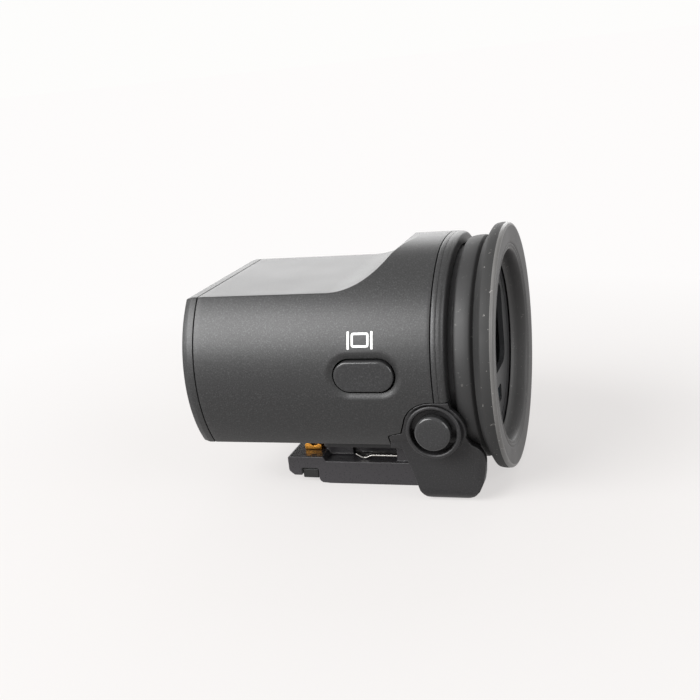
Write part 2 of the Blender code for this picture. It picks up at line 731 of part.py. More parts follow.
def make_rear_cover():
    """The ring behind the frame, which keeps the dioptre ring from sliding out."""
    bore = DIOPTRE_RING_RADIUS + FIT
    room = DIOPTRE_LIP_RADIUS + FIT
    front = COVER_FRONT_X + SEAM / 2
    lip_back = front + DIOPTRE_LIP_LENGTH - FIT
    step = COVER_RING_LENGTH / 4
    profile = [
        (bore, COVER_BACK_X), (BODY_RADIUS - step, COVER_BACK_X),
        (BODY_RADIUS - step / 2, COVER_BACK_X - step / 2),
        (BODY_RADIUS - step / 2, front), (room, front), (room, lip_back), (bore, lip_back),
    ]
    cover = turned("rear_cover", profile, ROUND_STEPS)
    return finish(cut(cover, *ear_room("cover")), "housing_metal")


def make_dioptre_ring(parent):
    back = EYE_PLANE_X - BOWL_DEPTH - FIT
    lip_back = COVER_FRONT_X + DIOPTRE_LIP_LENGTH - 2 * FIT - SEAM
    front = COVER_FRONT_X + SEAM / 2 + FIT / 2
    profile = [
        (DIOPTRE_RING_RADIUS, back), (DIOPTRE_RING_RADIUS, lip_back),
        (DIOPTRE_LIP_RADIUS, lip_back), (DIOPTRE_LIP_RADIUS, front),
        (DIOPTRE_RING_BORE, front), (DIOPTRE_RING_BORE, back),
    ]
    ring = turned("dioptre_ring", profile, RING_STEPS)
    for i in range(FOLLOWER_COUNT):
        cut(ring, helix_groove(i))
    return finish(ring, "black_plastic", parent)


def helix_groove(i):
    """A helical groove in the ring's bore, which drives one follower along its slot."""
    margin = (FOLLOWER_RADIUS + 2 * FIT) / DIOPTRE_RING_BORE
    sweep = DIOPTRE_TURN + margin
    curve = bpy.data.curves.new(f"helix_groove_{i}", "CURVE")
    curve.dimensions = "3D"
    curve.bevel_depth = GROOVE_DEPTH
    curve.bevel_resolution = 1
    curve.use_fill_caps = True
    spline = curve.splines.new("POLY")
    steps = ARC_STEPS + 2
    spline.points.add(steps)
    for k, point in enumerate(spline.points):
        turn = sweep * (2.0 * k / steps - 1.0)
        x = follower_x() - DIOPTRE_TRAVEL * turn / DIOPTRE_TURN
        place = on_ring(DIOPTRE_RING_BORE, follower_angle(i) + turn, x)
        point.co = (*place, 1.0)
    return settled(add_object(f"helix_groove_{i}", curve))


def make_eyecup(parent):
    eye = EYE_PLANE_X
    bore = DIOPTRE_RING_RADIUS + FIT
    flare = TUBE_RADIUS + (RIM_RADIUS - TUBE_RADIUS) / 7
    groove = BOWL_MOUTH_RADIUS + LIP_WIDTH
    profile = [
        (RIM_FACE_RADIUS, eye),
        (RIM_RADIUS - LIP_HEIGHT / 2, eye - RIM_DEPTH / 6),
        (RIM_RADIUS, eye - RIM_DEPTH / 2.4),
        (RIM_RADIUS - LIP_HEIGHT, eye - RIM_DEPTH / 1.4),
        (RIM_FACE_RADIUS - LIP_HEIGHT, eye - RIM_DEPTH / 1.15),
        (TUBE_RADIUS + (RIM_RADIUS - TUBE_RADIUS) / 2.5, eye - RIM_DEPTH),
        (flare, eye - RIM_DEPTH * 1.3),
        (TUBE_RADIUS, eye - RIM_DEPTH * 1.7),
        (TUBE_RADIUS, EYECUP_FRONT_X),
        (bore, EYECUP_FRONT_X), (bore, eye - BOWL_DEPTH),
        (BOWL_MOUTH_RADIUS - BOWL_TAPER, eye - BOWL_DEPTH),
        (BOWL_MOUTH_RADIUS - BOWL_TAPER / 2, eye - LIP_HEIGHT * 2),
        (BOWL_MOUTH_RADIUS, eye - LIP_HEIGHT / 2),
        (BOWL_MOUTH_RADIUS + LIP_WIDTH / 3, eye - LIP_HEIGHT / 4),
        (groove - LIP_WIDTH / 3, eye - LIP_HEIGHT),
        (groove, eye),
    ]
    return finish(turned("eyecup", profile, EYECUP_STEPS), "rubber", parent)


def make_eyepiece_mask():
    """The black plate behind the eyecup, with the picture window and the sensor window."""
    back = EYE_PLANE_X - MASK_SET_BACK
    plate = along_axis(BARREL_RADIUS, back - MASK_LENGTH, back, "eyepiece_mask", RING_STEPS)
    window = rounded_rectangle(
        (0.0, AXIS_HEIGHT + MASK_WINDOW_RISE), MASK_WINDOW_WIDTH, MASK_WINDOW_HEIGHT,
        MASK_WINDOW_CORNER, ARC_STEPS // 2,
    )
    cut(plate, slab("picture_window_cut", window, "X", back - MASK_LENGTH - OVERRUN, back + OVERRUN))
    sensor = rounded_rectangle(
        (0.0, AXIS_HEIGHT - SENSOR_WINDOW_DROP), SENSOR_WINDOW_WIDTH, SENSOR_WINDOW_HEIGHT,
        SENSOR_WINDOW_HEIGHT / 4, ARC_STEPS // 2,
    )
    cut(plate, slab("sensor_window_cut", sensor, "X", back - MASK_LENGTH - OVERRUN, back + OVERRUN))
    return finish(plate, "black_plastic")


def make_sensor_window():
    back = EYE_PLANE_X - MASK_SET_BACK
    outline = rounded_rectangle(
        (0.0, AXIS_HEIGHT - SENSOR_WINDOW_DROP), SENSOR_WINDOW_WIDTH - 2 * FIT,
        SENSOR_WINDOW_HEIGHT - 2 * FIT, SENSOR_WINDOW_HEIGHT / 4 - FIT / 2, ARC_STEPS // 2,
    )
    return finish(
        slab("eye_sensor_window", outline, "X", back - MASK_LENGTH, back - MASK_LENGTH / 3), "glass",
    )


def lens(name, radius, edge, bulge_back, bulge_front, middle, steps=SMALL_STEPS + ARC_STEPS):
    """A lens between two arcs, turned about the optical axis."""
    count = 4
    back = []
    front = []
    for i in range(count + 1):
        share = i / count
        rise = 1.0 - share * share
        back.append((radius * share, middle + edge / 2 + bulge_back * rise))
        front.append((radius * (1.0 - share), middle - edge / 2 - bulge_front * (
            1.0 - (1.0 - share) ** 2)))
    return turned(name, back + front, steps, closed=False)


def cell_radius():
    return BARREL_BORE - FIT


def cell_middle_x():
    return EYE_PLANE_X - FOLLOWER_PLACE - LENS_CELL_LENGTH / 2 + 2 * (FOLLOWER_RADIUS + FIT)


def make_lens_cell(parent):
    middle = cell_middle_x()
    half = LENS_CELL_LENGTH / 2
    radius = cell_radius()
    bore = radius - LENS_CELL_WALL
    seat = bore - LENS_CELL_WALL
    seat_back = middle - half + LENS_CELL_WALL
    profile = [
        (radius, middle + half), (radius, middle - half), (seat, middle - half),
        (seat, seat_back), (bore, seat_back), (bore, middle + half),
    ]
    cell = turned("lens_cell", profile, RING_STEPS)
    for i in range(FOLLOWER_COUNT):
        angle = follower_angle(i)
        start = on_ring(bore + LENS_CELL_WALL / 2, angle, follower_x())
        end = on_ring(DIOPTRE_RING_BORE + GROOVE_DEPTH - FIT, angle, follower_x())
        joined(cell, rod(f"follower_{i}", FOLLOWER_RADIUS, start, end, TINY_STEPS))
    return finish(cell, "black_plastic", parent)


def make_eyepiece_lens(parent):
    radius = cell_radius() - LENS_CELL_WALL - FIT
    seat_back = cell_middle_x() - LENS_CELL_LENGTH / 2 + LENS_CELL_WALL
    middle = seat_back + FIT + LENS_EDGE / 2
    glass = lens("eyepiece_lens", radius, LENS_EDGE, LENS_BULGE, LENS_BULGE / 2, middle)
    return finish(glass, "glass", parent)


def baffle_back_x():
    return barrel_front_x() - FIT


def display_back_x():
    return HOUSING_FRONT_X + DISPLAY_SET_BACK + DISPLAY_FRAME_THICKNESS


def make_light_baffle():
    """The blackened cone between the display and the eyepiece, with the field lens's seat."""
    back = baffle_back_x()
    front = display_back_x() + FIT
    seat = back - 2 * FIELD_LENS_EDGE - 2 * FIT
    profile = [
        (BAFFLE_RADIUS, back), (BAFFLE_RADIUS, seat - BAFFLE_WALL),
        (BAFFLE_FRONT_RADIUS, front), (BAFFLE_FRONT_RADIUS - BAFFLE_WALL, front),
        (BAFFLE_FRONT_RADIUS - BAFFLE_WALL, seat - BAFFLE_WALL),
        (BAFFLE_RADIUS - 2 * BAFFLE_WALL, seat), (BAFFLE_RADIUS - BAFFLE_WALL, seat),
        (BAFFLE_RADIUS - BAFFLE_WALL, back),
    ]
    return finish(turned("light_baffle", profile, SMALL_STEPS), "black_plastic")


def make_field_lens():
    radius = BAFFLE_RADIUS - BAFFLE_WALL - FIT
    middle = baffle_back_x() - FIELD_LENS_EDGE - FIT
    glass = lens("field_lens", radius, FIELD_LENS_EDGE, FIELD_LENS_EDGE / 3, 0.0, middle, SMALL_STEPS)
    return finish(glass, "glass")


def make_display_frame():
    back = display_back_x()
    front = back - DISPLAY_FRAME_THICKNESS
    frame = along_axis(BODY_RADIUS - WALL - FIT, front, back, "display_frame")
    flatten(frame, WALL + FIT, "display_frame")
    pocket = block(
        "display_pocket",
        (front - OVERRUN, -DISPLAY_WIDTH / 2 - FIT, AXIS_HEIGHT - DISPLAY_HEIGHT / 2 - FIT),
        (front + DISPLAY_THICKNESS + FIT, DISPLAY_WIDTH / 2 + FIT,
         AXIS_HEIGHT + DISPLAY_HEIGHT / 2 + FIT),
    )
    view = block(
        "display_view",
        (front - OVERRUN, -DISPLAY_WIDTH / 2 + DISPLAY_VIEW_MARGIN,
         AXIS_HEIGHT - DISPLAY_HEIGHT / 2 + DISPLAY_VIEW_MARGIN),
        (back + OVERRUN, DISPLAY_WIDTH / 2 - DISPLAY_VIEW_MARGIN,
         AXIS_HEIGHT + DISPLAY_HEIGHT / 2 - DISPLAY_VIEW_MARGIN),
    )
    return finish(cut(frame, pocket, view), "black_plastic")


def make_display_panel():
    front = display_back_x() - DISPLAY_FRAME_THICKNESS
    panel = block(
        "display_panel",
        (front, -DISPLAY_WIDTH / 2, AXIS_HEIGHT - DISPLAY_HEIGHT / 2),
        (front + DISPLAY_THICKNESS, DISPLAY_WIDTH / 2, AXIS_HEIGHT + DISPLAY_HEIGHT / 2),
    )
    return finish(panel, "display_glass")


def make_display_board():
    back = display_back_x() - DISPLAY_FRAME_THICKNESS - FIT
    outline = rounded_rectangle(
        (0.0, AXIS_HEIGHT), BOARD_WIDTH, BOARD_HEIGHT, BOARD_THICKNESS, ARC_STEPS // 2,
    )
    board = slab("display_board", outline, "X", back - BOARD_THICKNESS, back)
    return finish(board, "circuit_board")


def make_flex_cable():
    """The flat film that carries the signals from the display board down into the foot."""
    strip = CONTACT_STRIP
    top_x = display_back_x() + FIT
    floor = AXIS_HEIGHT - BOTTOM_FLAT_DROP + WALL + FIT
    down_x = BASE_PLATE_FRONT_X + 2 * OVERRUN
    bottom = FOOT_THICKNESS + FIT
    outline = [
        (top_x, floor), (down_x, floor), (down_x, bottom),
        (down_x + strip, bottom), (down_x + strip, floor + strip), (top_x, floor + strip),
    ]
    half = FLEX_HALF_WIDTH
    return finish(slab("flex_cable", outline, "Y", -half, half), "amber_film")


def switch_board_y():
    """How far from the middle plane the outer face of the switch's board lies."""
    return pill_seat_y() - PILL_FLANGE_THICKNESS - PILL_TRAVEL - 2 * FIT - SWITCH_HEIGHT


def switch_post_places():
    middle = FRAME_FRONT_X - PILL_AHEAD_OF_SEAM
    reach = SWITCH_BOARD_LENGTH / 2 - POST_RADIUS
    return (middle - reach, middle + reach)


def make_monitor_button(parent):
    cap = pill("monitor_button", 0.0, BODY_RADIUS + PILL_PROUD, pill_seat_y() - FIT - PILL_FLANGE_THICKNESS)
    bevel = cap.modifiers.new("edge", "BEVEL")
    bevel.width = PILL_CHAMFER
    bevel.segments = 2
    bevel.limit_method = "ANGLE"
    flange = pill(
        "pill_flange", PILL_FLANGE, pill_seat_y() - FIT,
        pill_seat_y() - FIT - PILL_FLANGE_THICKNESS,
    )
    return finish(joined(cap, flange), "button_black", parent)


def make_button_switch():
    middle = FRAME_FRONT_X - PILL_AHEAD_OF_SEAM
    outer = switch_board_y() + SWITCH_HEIGHT - FIT / 2
    body = block(
        "button_switch",
        (middle - SWITCH_SIDE / 2, -outer, AXIS_HEIGHT + PILL_RISE - SWITCH_SIDE / 2),
        (middle + SWITCH_SIDE / 2, -switch_board_y() - FIT / 2,
         AXIS_HEIGHT + PILL_RISE + SWITCH_SIDE / 2),
    )
    return finish(body, "steel")


def make_button_board():
    middle = (FRAME_FRONT_X - PILL_AHEAD_OF_SEAM, AXIS_HEIGHT + PILL_RISE)
    outline = rounded_rectangle(
        middle, SWITCH_BOARD_LENGTH, SWITCH_BOARD_HEIGHT, BOARD_THICKNESS, ARC_STEPS // 2,
    )
    inner = switch_board_y() - BOARD_THICKNESS
    return finish(slab("button_board", outline, "Y", -switch_board_y(), -inner), "circuit_board")


def boss_centre():
    return (FRAME_FRONT_X - BOSS_X_FROM_SEAM, AXIS_HEIGHT - BOSS_DROP)


def make_mount_bracket():
    """The block under the rear end, with an ear on each side let into the round shells."""
    half = BODY_RADIUS + OVERRUN
    bracket = slab("mount_bracket", side_view_outline(0.0), "Y", -half, half)
    common(bracket, slab("bracket_front_view", front_view_outline(), "X",
                         -OVERRUN * 2, EYE_PLANE_X + OVERRUN))
    common(bracket, slab("bracket_plan", plan_outline(), "Z", -OVERRUN, AXIS_HEIGHT + OVERRUN))
    x, z = boss_centre()
    for name, sign in (("near_boss", -1), ("far_boss", 1)):
        inner = sign * (EAR_INNER_Y + FIT)
        joined(bracket, rod(
            name, BOSS_RADIUS, (x, inner, z), (x, sign * BOSS_FACE_Y, z), SMALL_STEPS + TINY_STEPS,
        ))
    ring_back = COVER_BACK_X + FIT
    floor_room = block(
        "floor_room",
        (-2 * OVERRUN, -EAR_INNER_Y, AXIS_HEIGHT - BOTTOM_FLAT_DROP - SEAM),
        (ring_back, EAR_INNER_Y, AXIS_HEIGHT + OVERRUN),
    )
    cut(bracket, rod("boss_recess", BOSS_RECESS_RADIUS, (x, -BOSS_FACE_Y - OVERRUN, z),
                     (x, -BOSS_FACE_Y + BOSS_RECESS_DEPTH, z), SMALL_STEPS + TINY_STEPS))
    cut(bracket, rod("stem_hole", RELEASE_STEM_RADIUS + FIT, (x, -BOSS_FACE_Y, z),
                     (x, -EAR_INNER_Y, z), TINY_STEPS))
    foot_room = block(
        "foot_room",
        (-2 * OVERRUN, -FOOT_WIDTH / 2 - FIT, -OVERRUN),
        (FOOT_BACK_X + FIT, FOOT_WIDTH / 2 + FIT, FOOT_THICKNESS + FIT),
    )
    neck_room = block(
        "neck_room",
        (-2 * OVERRUN, -FOOT_NECK_WIDTH / 2 - FIT, -OVERRUN),
        (FOOT_BACK_X + FIT, FOOT_NECK_WIDTH / 2 + FIT, AXIS_HEIGHT),
    )
    plate_room = block(
        "plate_room",
        (-2 * OVERRUN, -BASE_PLATE_HALF_WIDTH - FIT, base_plate_low() - FIT),
        (FOOT_BACK_X + FIT, BASE_PLATE_HALF_WIDTH + FIT, AXIS_HEIGHT),
    )
    cut(bracket, foot_room, neck_room, plate_room, floor_room)
    ring_room = along_axis(BODY_RADIUS + FIT, FRAME_FRONT_X - FIT, ring_back, "ring_room")
    common(ring_room, block(
        "ring_room_width", (-2 * OVERRUN, -EAR_INNER_Y, -OVERRUN), (EYE_PLANE_X, EAR_INNER_Y, half * 2),
    ))
    shell_inner = BODY_RADIUS - WALL + FIT / 3
    shell_room = along_axis(shell_inner, -2 * OVERRUN, ring_back, "shell_room")
    cut(bracket, shell_room, ring_room, eyecup_room())
    return finish(bracket, "bracket_metal")


def eyecup_room():
    """The saddle in the bracket that the turning eyecup passes over."""
    front = COVER_BACK_X
    narrow = TUBE_RADIUS + FIT + SEAM / 2
    wide = RIM_RADIUS + FIT
    eye = EYE_PLANE_X
    profile = [
        (0.0, eye + OVERRUN), (wide, eye + OVERRUN), (wide, eye - RIM_DEPTH - FIT / 2),
        (narrow + FIT, eye - RIM_DEPTH * 1.4), (narrow, eye - RIM_DEPTH * 1.7), (narrow, front),
        (0.0, front),
    ]
    return turned("eyecup_room", profile, ROUND_STEPS, closed=False)


def make_release_button(parent):
    x, z = boss_centre()
    outer = -BOSS_FACE_Y - RELEASE_PROUD
    inner = outer + RELEASE_THICKNESS
    cap = rod("release_button", RELEASE_RADIUS, (x, outer, z), (x, inner, z), SMALL_STEPS)
    bevel = cap.modifiers.new("edge", "BEVEL")
    bevel.width = RELEASE_CHAMFER
    bevel.segments = 2
    bevel.limit_method = "ANGLE"
    stem = rod("release_stem", RELEASE_STEM_RADIUS, (x, inner - RELEASE_THICKNESS / 2, z),
               (x, inner + RELEASE_STEM_LENGTH, z), TINY_STEPS)
    return finish(joined(cap, stem), "button_black", parent)


def base_plate_low():
    return AXIS_HEIGHT - BOTTOM_FLAT_DROP - SEAM - BASE_PLATE_THICKNESS


def make_base_plate():
    """The thin plate under the housing's flat, which the foot is screwed to."""
    top = AXIS_HEIGHT - BOTTOM_FLAT_DROP - SEAM
    middle = (BASE_PLATE_FRONT_X + FOOT_BACK_X) / 2
    outline = rounded_rectangle(
        (middle, 0.0), FOOT_BACK_X - BASE_PLATE_FRONT_X, 2 * BASE_PLATE_HALF_WIDTH,
        OVERRUN, ARC_STEPS // 2,
    )
    plate = slab("base_plate", outline, "Z", base_plate_low(), top)
    slot_x = BASE_PLATE_FRONT_X + 2 * OVERRUN
    half = FLEX_HALF_WIDTH + FIT
    cut(plate, block("plate_flex_slot", (slot_x - FIT, -half, 0.0),
                     (slot_x + CONTACT_STRIP + FIT, half, AXIS_HEIGHT)))
    for x, y in screw_places():
        cut(plate, rod("plate_screw_hole", SCREW_SHANK_RADIUS + FIT / 2, (x, y, 0.0),
                       (x, y, AXIS_HEIGHT), TINY_STEPS))
    return finish(plate, "bracket_metal")


def screw_places():
    return [
        (x, y) for x in (SCREW_FRONT_X, SCREW_BACK_X) for y in (-SCREW_SPREAD_Y, SCREW_SPREAD_Y)
    ]


def foot_side_outline():
    """The foot's plate and nose from the side, as (x, z) points."""
    return [
        (FOOT_BACK_X, 0.0), (FOOT_BACK_X, FOOT_THICKNESS), (FOOT_FRONT_X, FOOT_THICKNESS),
        (FOOT_FRONT_X, NOSE_TOP), (NOSE_FRONT_X + NOSE_CHAMFER / 3, NOSE_TOP),
        (NOSE_FRONT_X, NOSE_TOP - NOSE_CHAMFER / 3), (NOSE_FRONT_X, NOSE_RISE + NOSE_CHAMFER),
        (NOSE_FRONT_X + NOSE_CHAMFER, NOSE_RISE), (FOOT_FRONT_X - FOOT_CHAMFER, NOSE_RISE - FIT),
        (FOOT_FRONT_X, FOOT_CHAMFER - FIT), (FOOT_FRONT_X + FOOT_CHAMFER, 0.0),
    ]


def make_shoe_foot():
    foot = slab("shoe_foot", foot_side_outline(), "Y", -FOOT_WIDTH / 2, FOOT_WIDTH / 2)
    neck = block(
        "foot_neck", (FOOT_FRONT_X, -FOOT_NECK_WIDTH / 2, FOOT_THICKNESS - OVERRUN),
        (FOOT_BACK_X - FIT, FOOT_NECK_WIDTH / 2, base_plate_low() - FIT),
    )
    joined(foot, neck)
    notch_top = NOSE_RISE - TONGUE_PROUD + TONGUE_THICKNESS + TONGUE_LIFT + FIT / 2
    tongue_back = lever_tongue_x() + TONGUE_LENGTH
    cut(foot, block(
        "tongue_notch",
        (tongue_back + FIT - NOTCH_LENGTH, -FOOT_WIDTH, -OVERRUN),
        (tongue_back + FIT, FOOT_WIDTH, notch_top),
    ))
    tunnel = block(
        "lever_tunnel",
        (tongue_back - TONGUE_LENGTH / 2 - 2 * FIT, -LEVER_WIDTH / 2 - FIT,
         lever_low() - TONGUE_LIFT - FIT / 2),
        (FOOT_BACK_X + OVERRUN, LEVER_WIDTH / 2 + FIT,
         lever_low() + LEVER_THICKNESS + TONGUE_LIFT + FIT / 2),
    )
    cut(foot, tunnel)
    pin_z = lever_low() + LEVER_THICKNESS / 2
    cut(foot, rod("lever_pin_hole", LEVER_PIN_RADIUS + FIT / 2,
                  (LEVER_PIN_X, -FOOT_NECK_WIDTH / 3, pin_z),
                  (LEVER_PIN_X, FOOT_NECK_WIDTH / 3, pin_z), TINY_STEPS))
    slot_x = BASE_PLATE_FRONT_X + 2 * OVERRUN
    half = FLEX_HALF_WIDTH + FIT
    cut(foot, block("foot_flex_slot", (slot_x - FIT, -half, FOOT_THICKNESS),
                    (slot_x + CONTACT_STRIP + FIT, half, AXIS_HEIGHT)))
    for x, y in screw_places():
        cut(foot, rod("foot_screw_hole", SCREW_SHANK_RADIUS + FIT / 2, (x, y, -OVERRUN),
                      (x, y, AXIS_HEIGHT), TINY_STEPS))
        cut(foot, rod("foot_screw_sink", SCREW_HEAD_RADIUS + FIT, (x, y, -OVERRUN),
                      (x, y, SCREW_SINK + SCREW_HEAD_HEIGHT + FIT), TINY_STEPS))
    for sign in (-1, 1):
        near = sign * (FOOT_NECK_WIDTH / 2 - SPRING_WIDTH / 3)
        far = sign * (FOOT_NECK_WIDTH / 2 + OVERRUN)
        cut(foot, block(
            "spring_pocket",
            (spring_front_x() - FIT, min(near, far), FOOT_THICKNESS),
            (FOOT_BACK_X + OVERRUN, max(near, far), base_plate_low() - 2 * FIT),
        ))
    return finish(foot, "bracket_metal")


def spring_front_x():
    return FOOT_BACK_X - SPRING_LENGTH - 2 * OVERRUN


def make_shoe_spring(name, sign):
    """A bent steel strip that presses up on the rail of the camera's shoe."""
    start = spring_front_x()
    end = start + SPRING_LENGTH
    base = FOOT_THICKNESS + FIT
    crest = base + SPRING_LIFT
    shares = ((0.0, 0.8), (0.12, 0.15), (0.2, 0.05), (0.28, 0.3), (0.4, 1.0), (0.75, 0.95), (1.0, 0.0))
    line = [
        (start + u * (end - start), base + v * (crest - base)) for u, v in shares
    ]
    outline = line + [(x, z + SPRING_STRIP) for x, z in reversed(line)]
    inner = sign * (FOOT_NECK_WIDTH / 2 + FIT)
    outer = inner + sign * SPRING_WIDTH
    return finish(slab(name, outline, "Y", min(inner, outer), max(inner, outer)), "steel")


def make_contact(i):
    """One gilt contact folded over the top of the nose."""
    y = (i - (CONTACT_COUNT - 1) / 2) * CONTACT_PITCH
    front = NOSE_FRONT_X + OVERRUN
    low = NOSE_TOP + FIT / 2
    rise = CONTACT_STRIP
    outline = [
        (front, low), (front + CONTACT_LENGTH, low), (front + CONTACT_LENGTH, low + rise),
        (front + CONTACT_LENGTH * 0.7, low + rise), (front + CONTACT_LENGTH * 0.5, low + 2 * rise),
        (front + CONTACT_LENGTH * 0.3, low + rise), (front, low + rise),
    ]
    half = CONTACT_WIDTH / 2
    return finish(slab(f"shoe_contact_{i + 1}", outline, "Y", y - half, y + half), "gold")


def make_foot_screw(i, x, y):
    head = rod(f"foot_screw_{i + 1}", SCREW_HEAD_RADIUS, (x, y, SCREW_SINK),
               (x, y, SCREW_SINK + SCREW_HEAD_HEIGHT), 2 * ARC_STEPS)
    shank = rod("screw_shank", SCREW_SHANK_RADIUS, (x, y, SCREW_SINK + SCREW_HEAD_HEIGHT / 2),
                (x, y, base_plate_low() + BASE_PLATE_THICKNESS), TINY_STEPS)
    joined(head, shank)
    slot_deep = SCREW_HEAD_HEIGHT / 2
    for turn in (0.0, math.pi / 2):
        slot = block("screw_cross", (-SCREW_HEAD_RADIUS / 1.8, -SCREW_SHANK_RADIUS / 4, -OVERRUN),
                     (SCREW_HEAD_RADIUS / 1.8, SCREW_SHANK_RADIUS / 4, SCREW_SINK + slot_deep))
        slot.data.transform(Matrix.Translation((x, y, 0.0)) @ Matrix.Rotation(turn, 4, "Z"))
        cut(head, slot)
    return finish(head, "steel")


def lever_low():
    return LEVER_DROP - FIT / 2


def lever_tongue_x():
    return NOSE_FRONT_X + 2 * OVERRUN + FIT


def make_lock_lever(parent):
    """The rocking bar in the foot, whose wide tongue locks it in the shoe."""
    low = lever_low()
    tongue_x = lever_tongue_x()
    bar = block(
        "lock_lever", (tongue_x + TONGUE_LENGTH / 2, -LEVER_WIDTH / 2, low),
        (LEVER_BACK_X, LEVER_WIDTH / 2, low + LEVER_THICKNESS),
    )
    tongue_low = NOSE_RISE - TONGUE_PROUD
    tongue = block(
        "lever_tongue", (tongue_x, -TONGUE_WIDTH / 2, tongue_low),
        (tongue_x + TONGUE_LENGTH, TONGUE_WIDTH / 2, tongue_low + TONGUE_THICKNESS),
    )
    joined(bar, tongue)
    pin_z = low + LEVER_THICKNESS / 2
    hub = rod("lever_hub", LEVER_THICKNESS / 2 + FIT, (LEVER_PIN_X, -LEVER_WIDTH / 2, pin_z),
              (LEVER_PIN_X, LEVER_WIDTH / 2, pin_z), TINY_STEPS)
    joined(bar, hub)
    cut(bar, rod("lever_bore", LEVER_PIN_RADIUS + FIT / 3, (LEVER_PIN_X, -LEVER_WIDTH, pin_z),
                 (LEVER_PIN_X, LEVER_WIDTH, pin_z), TINY_STEPS))
    return finish(bar, "steel", parent)


def make_lever_pin():
    pin_z = lever_low() + LEVER_THICKNESS / 2
    reach = FOOT_NECK_WIDTH / 3 - FIT
    pin = rod("lever_pin", LEVER_PIN_RADIUS, (LEVER_PIN_X, -reach, pin_z),
              (LEVER_PIN_X, reach, pin_z), TINY_STEPS)
    return finish(pin, "steel")


clear_scene()
PARTS = new_collection("electronic_viewfinder")
CUTTERS = new_collection("cutters")

make_housing()
make_front_cap()
make_rear_frame()
make_rear_cover()
make_eyepiece_mask()
make_sensor_window()
make_light_baffle()
make_field_lens()
make_display_frame()
make_display_panel()
make_display_board()
make_flex_cable()
make_button_switch()
make_button_board()
make_mount_bracket()
make_base_plate()
make_shoe_foot()
make_shoe_spring("shoe_spring_near", -1)
make_shoe_spring("shoe_spring_far", 1)
for contact in range(CONTACT_COUNT):
    make_contact(contact)
for number, (screw_x, screw_y) in enumerate(screw_places()):
    make_foot_screw(number, screw_x, screw_y)
make_lever_pin()

eyepiece_axis = axis_empty("eyepiece_axis", (EYE_PLANE_X, 0.0, AXIS_HEIGHT))
make_dioptre_ring(eyepiece_axis)
make_eyecup(eyepiece_axis)
lens_axis = axis_empty("lens_axis", (cell_middle_x(), 0.0, AXIS_HEIGHT))
make_lens_cell(lens_axis)
make_eyepiece_lens(lens_axis)
button_axis = axis_empty(
    "button_axis", (FRAME_FRONT_X - PILL_AHEAD_OF_SEAM, -BODY_RADIUS, AXIS_HEIGHT + PILL_RISE),
)
make_monitor_button(button_axis)
release_x, release_z = boss_centre()
release_axis = axis_empty("release_axis", (release_x, -BOSS_FACE_Y, release_z))
make_release_button(release_axis)
lever_axis = axis_empty("lever_axis", (LEVER_PIN_X, 0.0, lever_low() + LEVER_THICKNESS / 2))
make_lock_lever(lever_axis)
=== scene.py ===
"""The electronic viewfinder of the photograph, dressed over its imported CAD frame.

Points and lengths are millimetres in the CAD frame, unless a comment says metres: X along the
optical axis towards the eye, Y away from the button side, Z up, with the origin on the foot's
underside. A height with "above the axis" in its comment is measured from the optical axis.
"""
import json
import math

import bmesh
import bpy
from mathutils import Matrix, Vector


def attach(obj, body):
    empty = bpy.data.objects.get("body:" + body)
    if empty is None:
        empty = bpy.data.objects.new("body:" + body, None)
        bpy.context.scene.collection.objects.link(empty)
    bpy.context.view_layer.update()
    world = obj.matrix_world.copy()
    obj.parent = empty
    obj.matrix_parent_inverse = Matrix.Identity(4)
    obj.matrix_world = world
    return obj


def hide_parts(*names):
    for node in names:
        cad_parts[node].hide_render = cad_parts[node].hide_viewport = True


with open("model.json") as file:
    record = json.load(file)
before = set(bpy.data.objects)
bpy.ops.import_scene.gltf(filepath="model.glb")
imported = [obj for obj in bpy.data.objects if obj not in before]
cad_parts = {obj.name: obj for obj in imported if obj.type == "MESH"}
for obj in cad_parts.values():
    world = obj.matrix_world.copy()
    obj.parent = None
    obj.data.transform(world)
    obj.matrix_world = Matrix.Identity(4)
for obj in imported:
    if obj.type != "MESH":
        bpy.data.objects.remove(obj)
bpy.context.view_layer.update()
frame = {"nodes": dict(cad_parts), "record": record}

MM = 0.001
AXIS_Z = 19.7
BODY_R = 18.0
TOP_FLAT = 12.3  # above the axis
BOTTOM_FLAT = -10.8  # above the axis
FILLET = 0.3  # along the edges of both flats
SEAM = 0.12  # gap round the bracket's ears and over the base plate


# Camera, light and stage

CAMERA_TURN = (19.0, 16.45, -6.36)  # azimuth, elevation and roll, in degrees
CAMERA_TARGET = (-3.2, 0.0, 19.2)
CAMERA_DISTANCE = 165.6
SENSOR = 36.0
LENS = SENSOR * 1028.7 / 700.0  # focal length over picture width, both in pixels
CLIP = (0.005, 50.0)  # in metres

SOFT_WORLD = 0.55  # what the world gives as light
SEEN_WORLD = 0.985  # what the camera and the reflections see of it
WORLD_COLOUR = (1.0, 0.995, 0.985, 1.0)
LIGHT_TARGET = (0.0, 0.0, 0.02)  # in metres
LIGHTS = (  # name, place and size in metres, power in watts
    ("front_softbox", (-0.45, -0.49, 0.43), (0.62, 0.50), 10.4),
    ("side_softbox", (0.74, -0.30, 0.36), (0.6, 0.5), 3.2),
    ("back_softbox", (-0.28, 0.74, 0.30), (1.2, 0.42), 4.1),
)

FLOOR_REACH = 4.0  # in metres
FLOOR_DROP = 0.02
FLOOR_COLOUR = (0.2, 0.197, 0.194, 1.0)
FLOOR_LIFT = 0.61  # glow of the floor as it is seen, so that shadows stay soft
LIFT_COLOUR = (1.0, 0.972, 0.962, 1.0)
FAR_COLOUR = (1.0, 0.985, 0.98, 1.0)
FADE = (0.045, 0.13)  # distances in metres between which the floor turns white


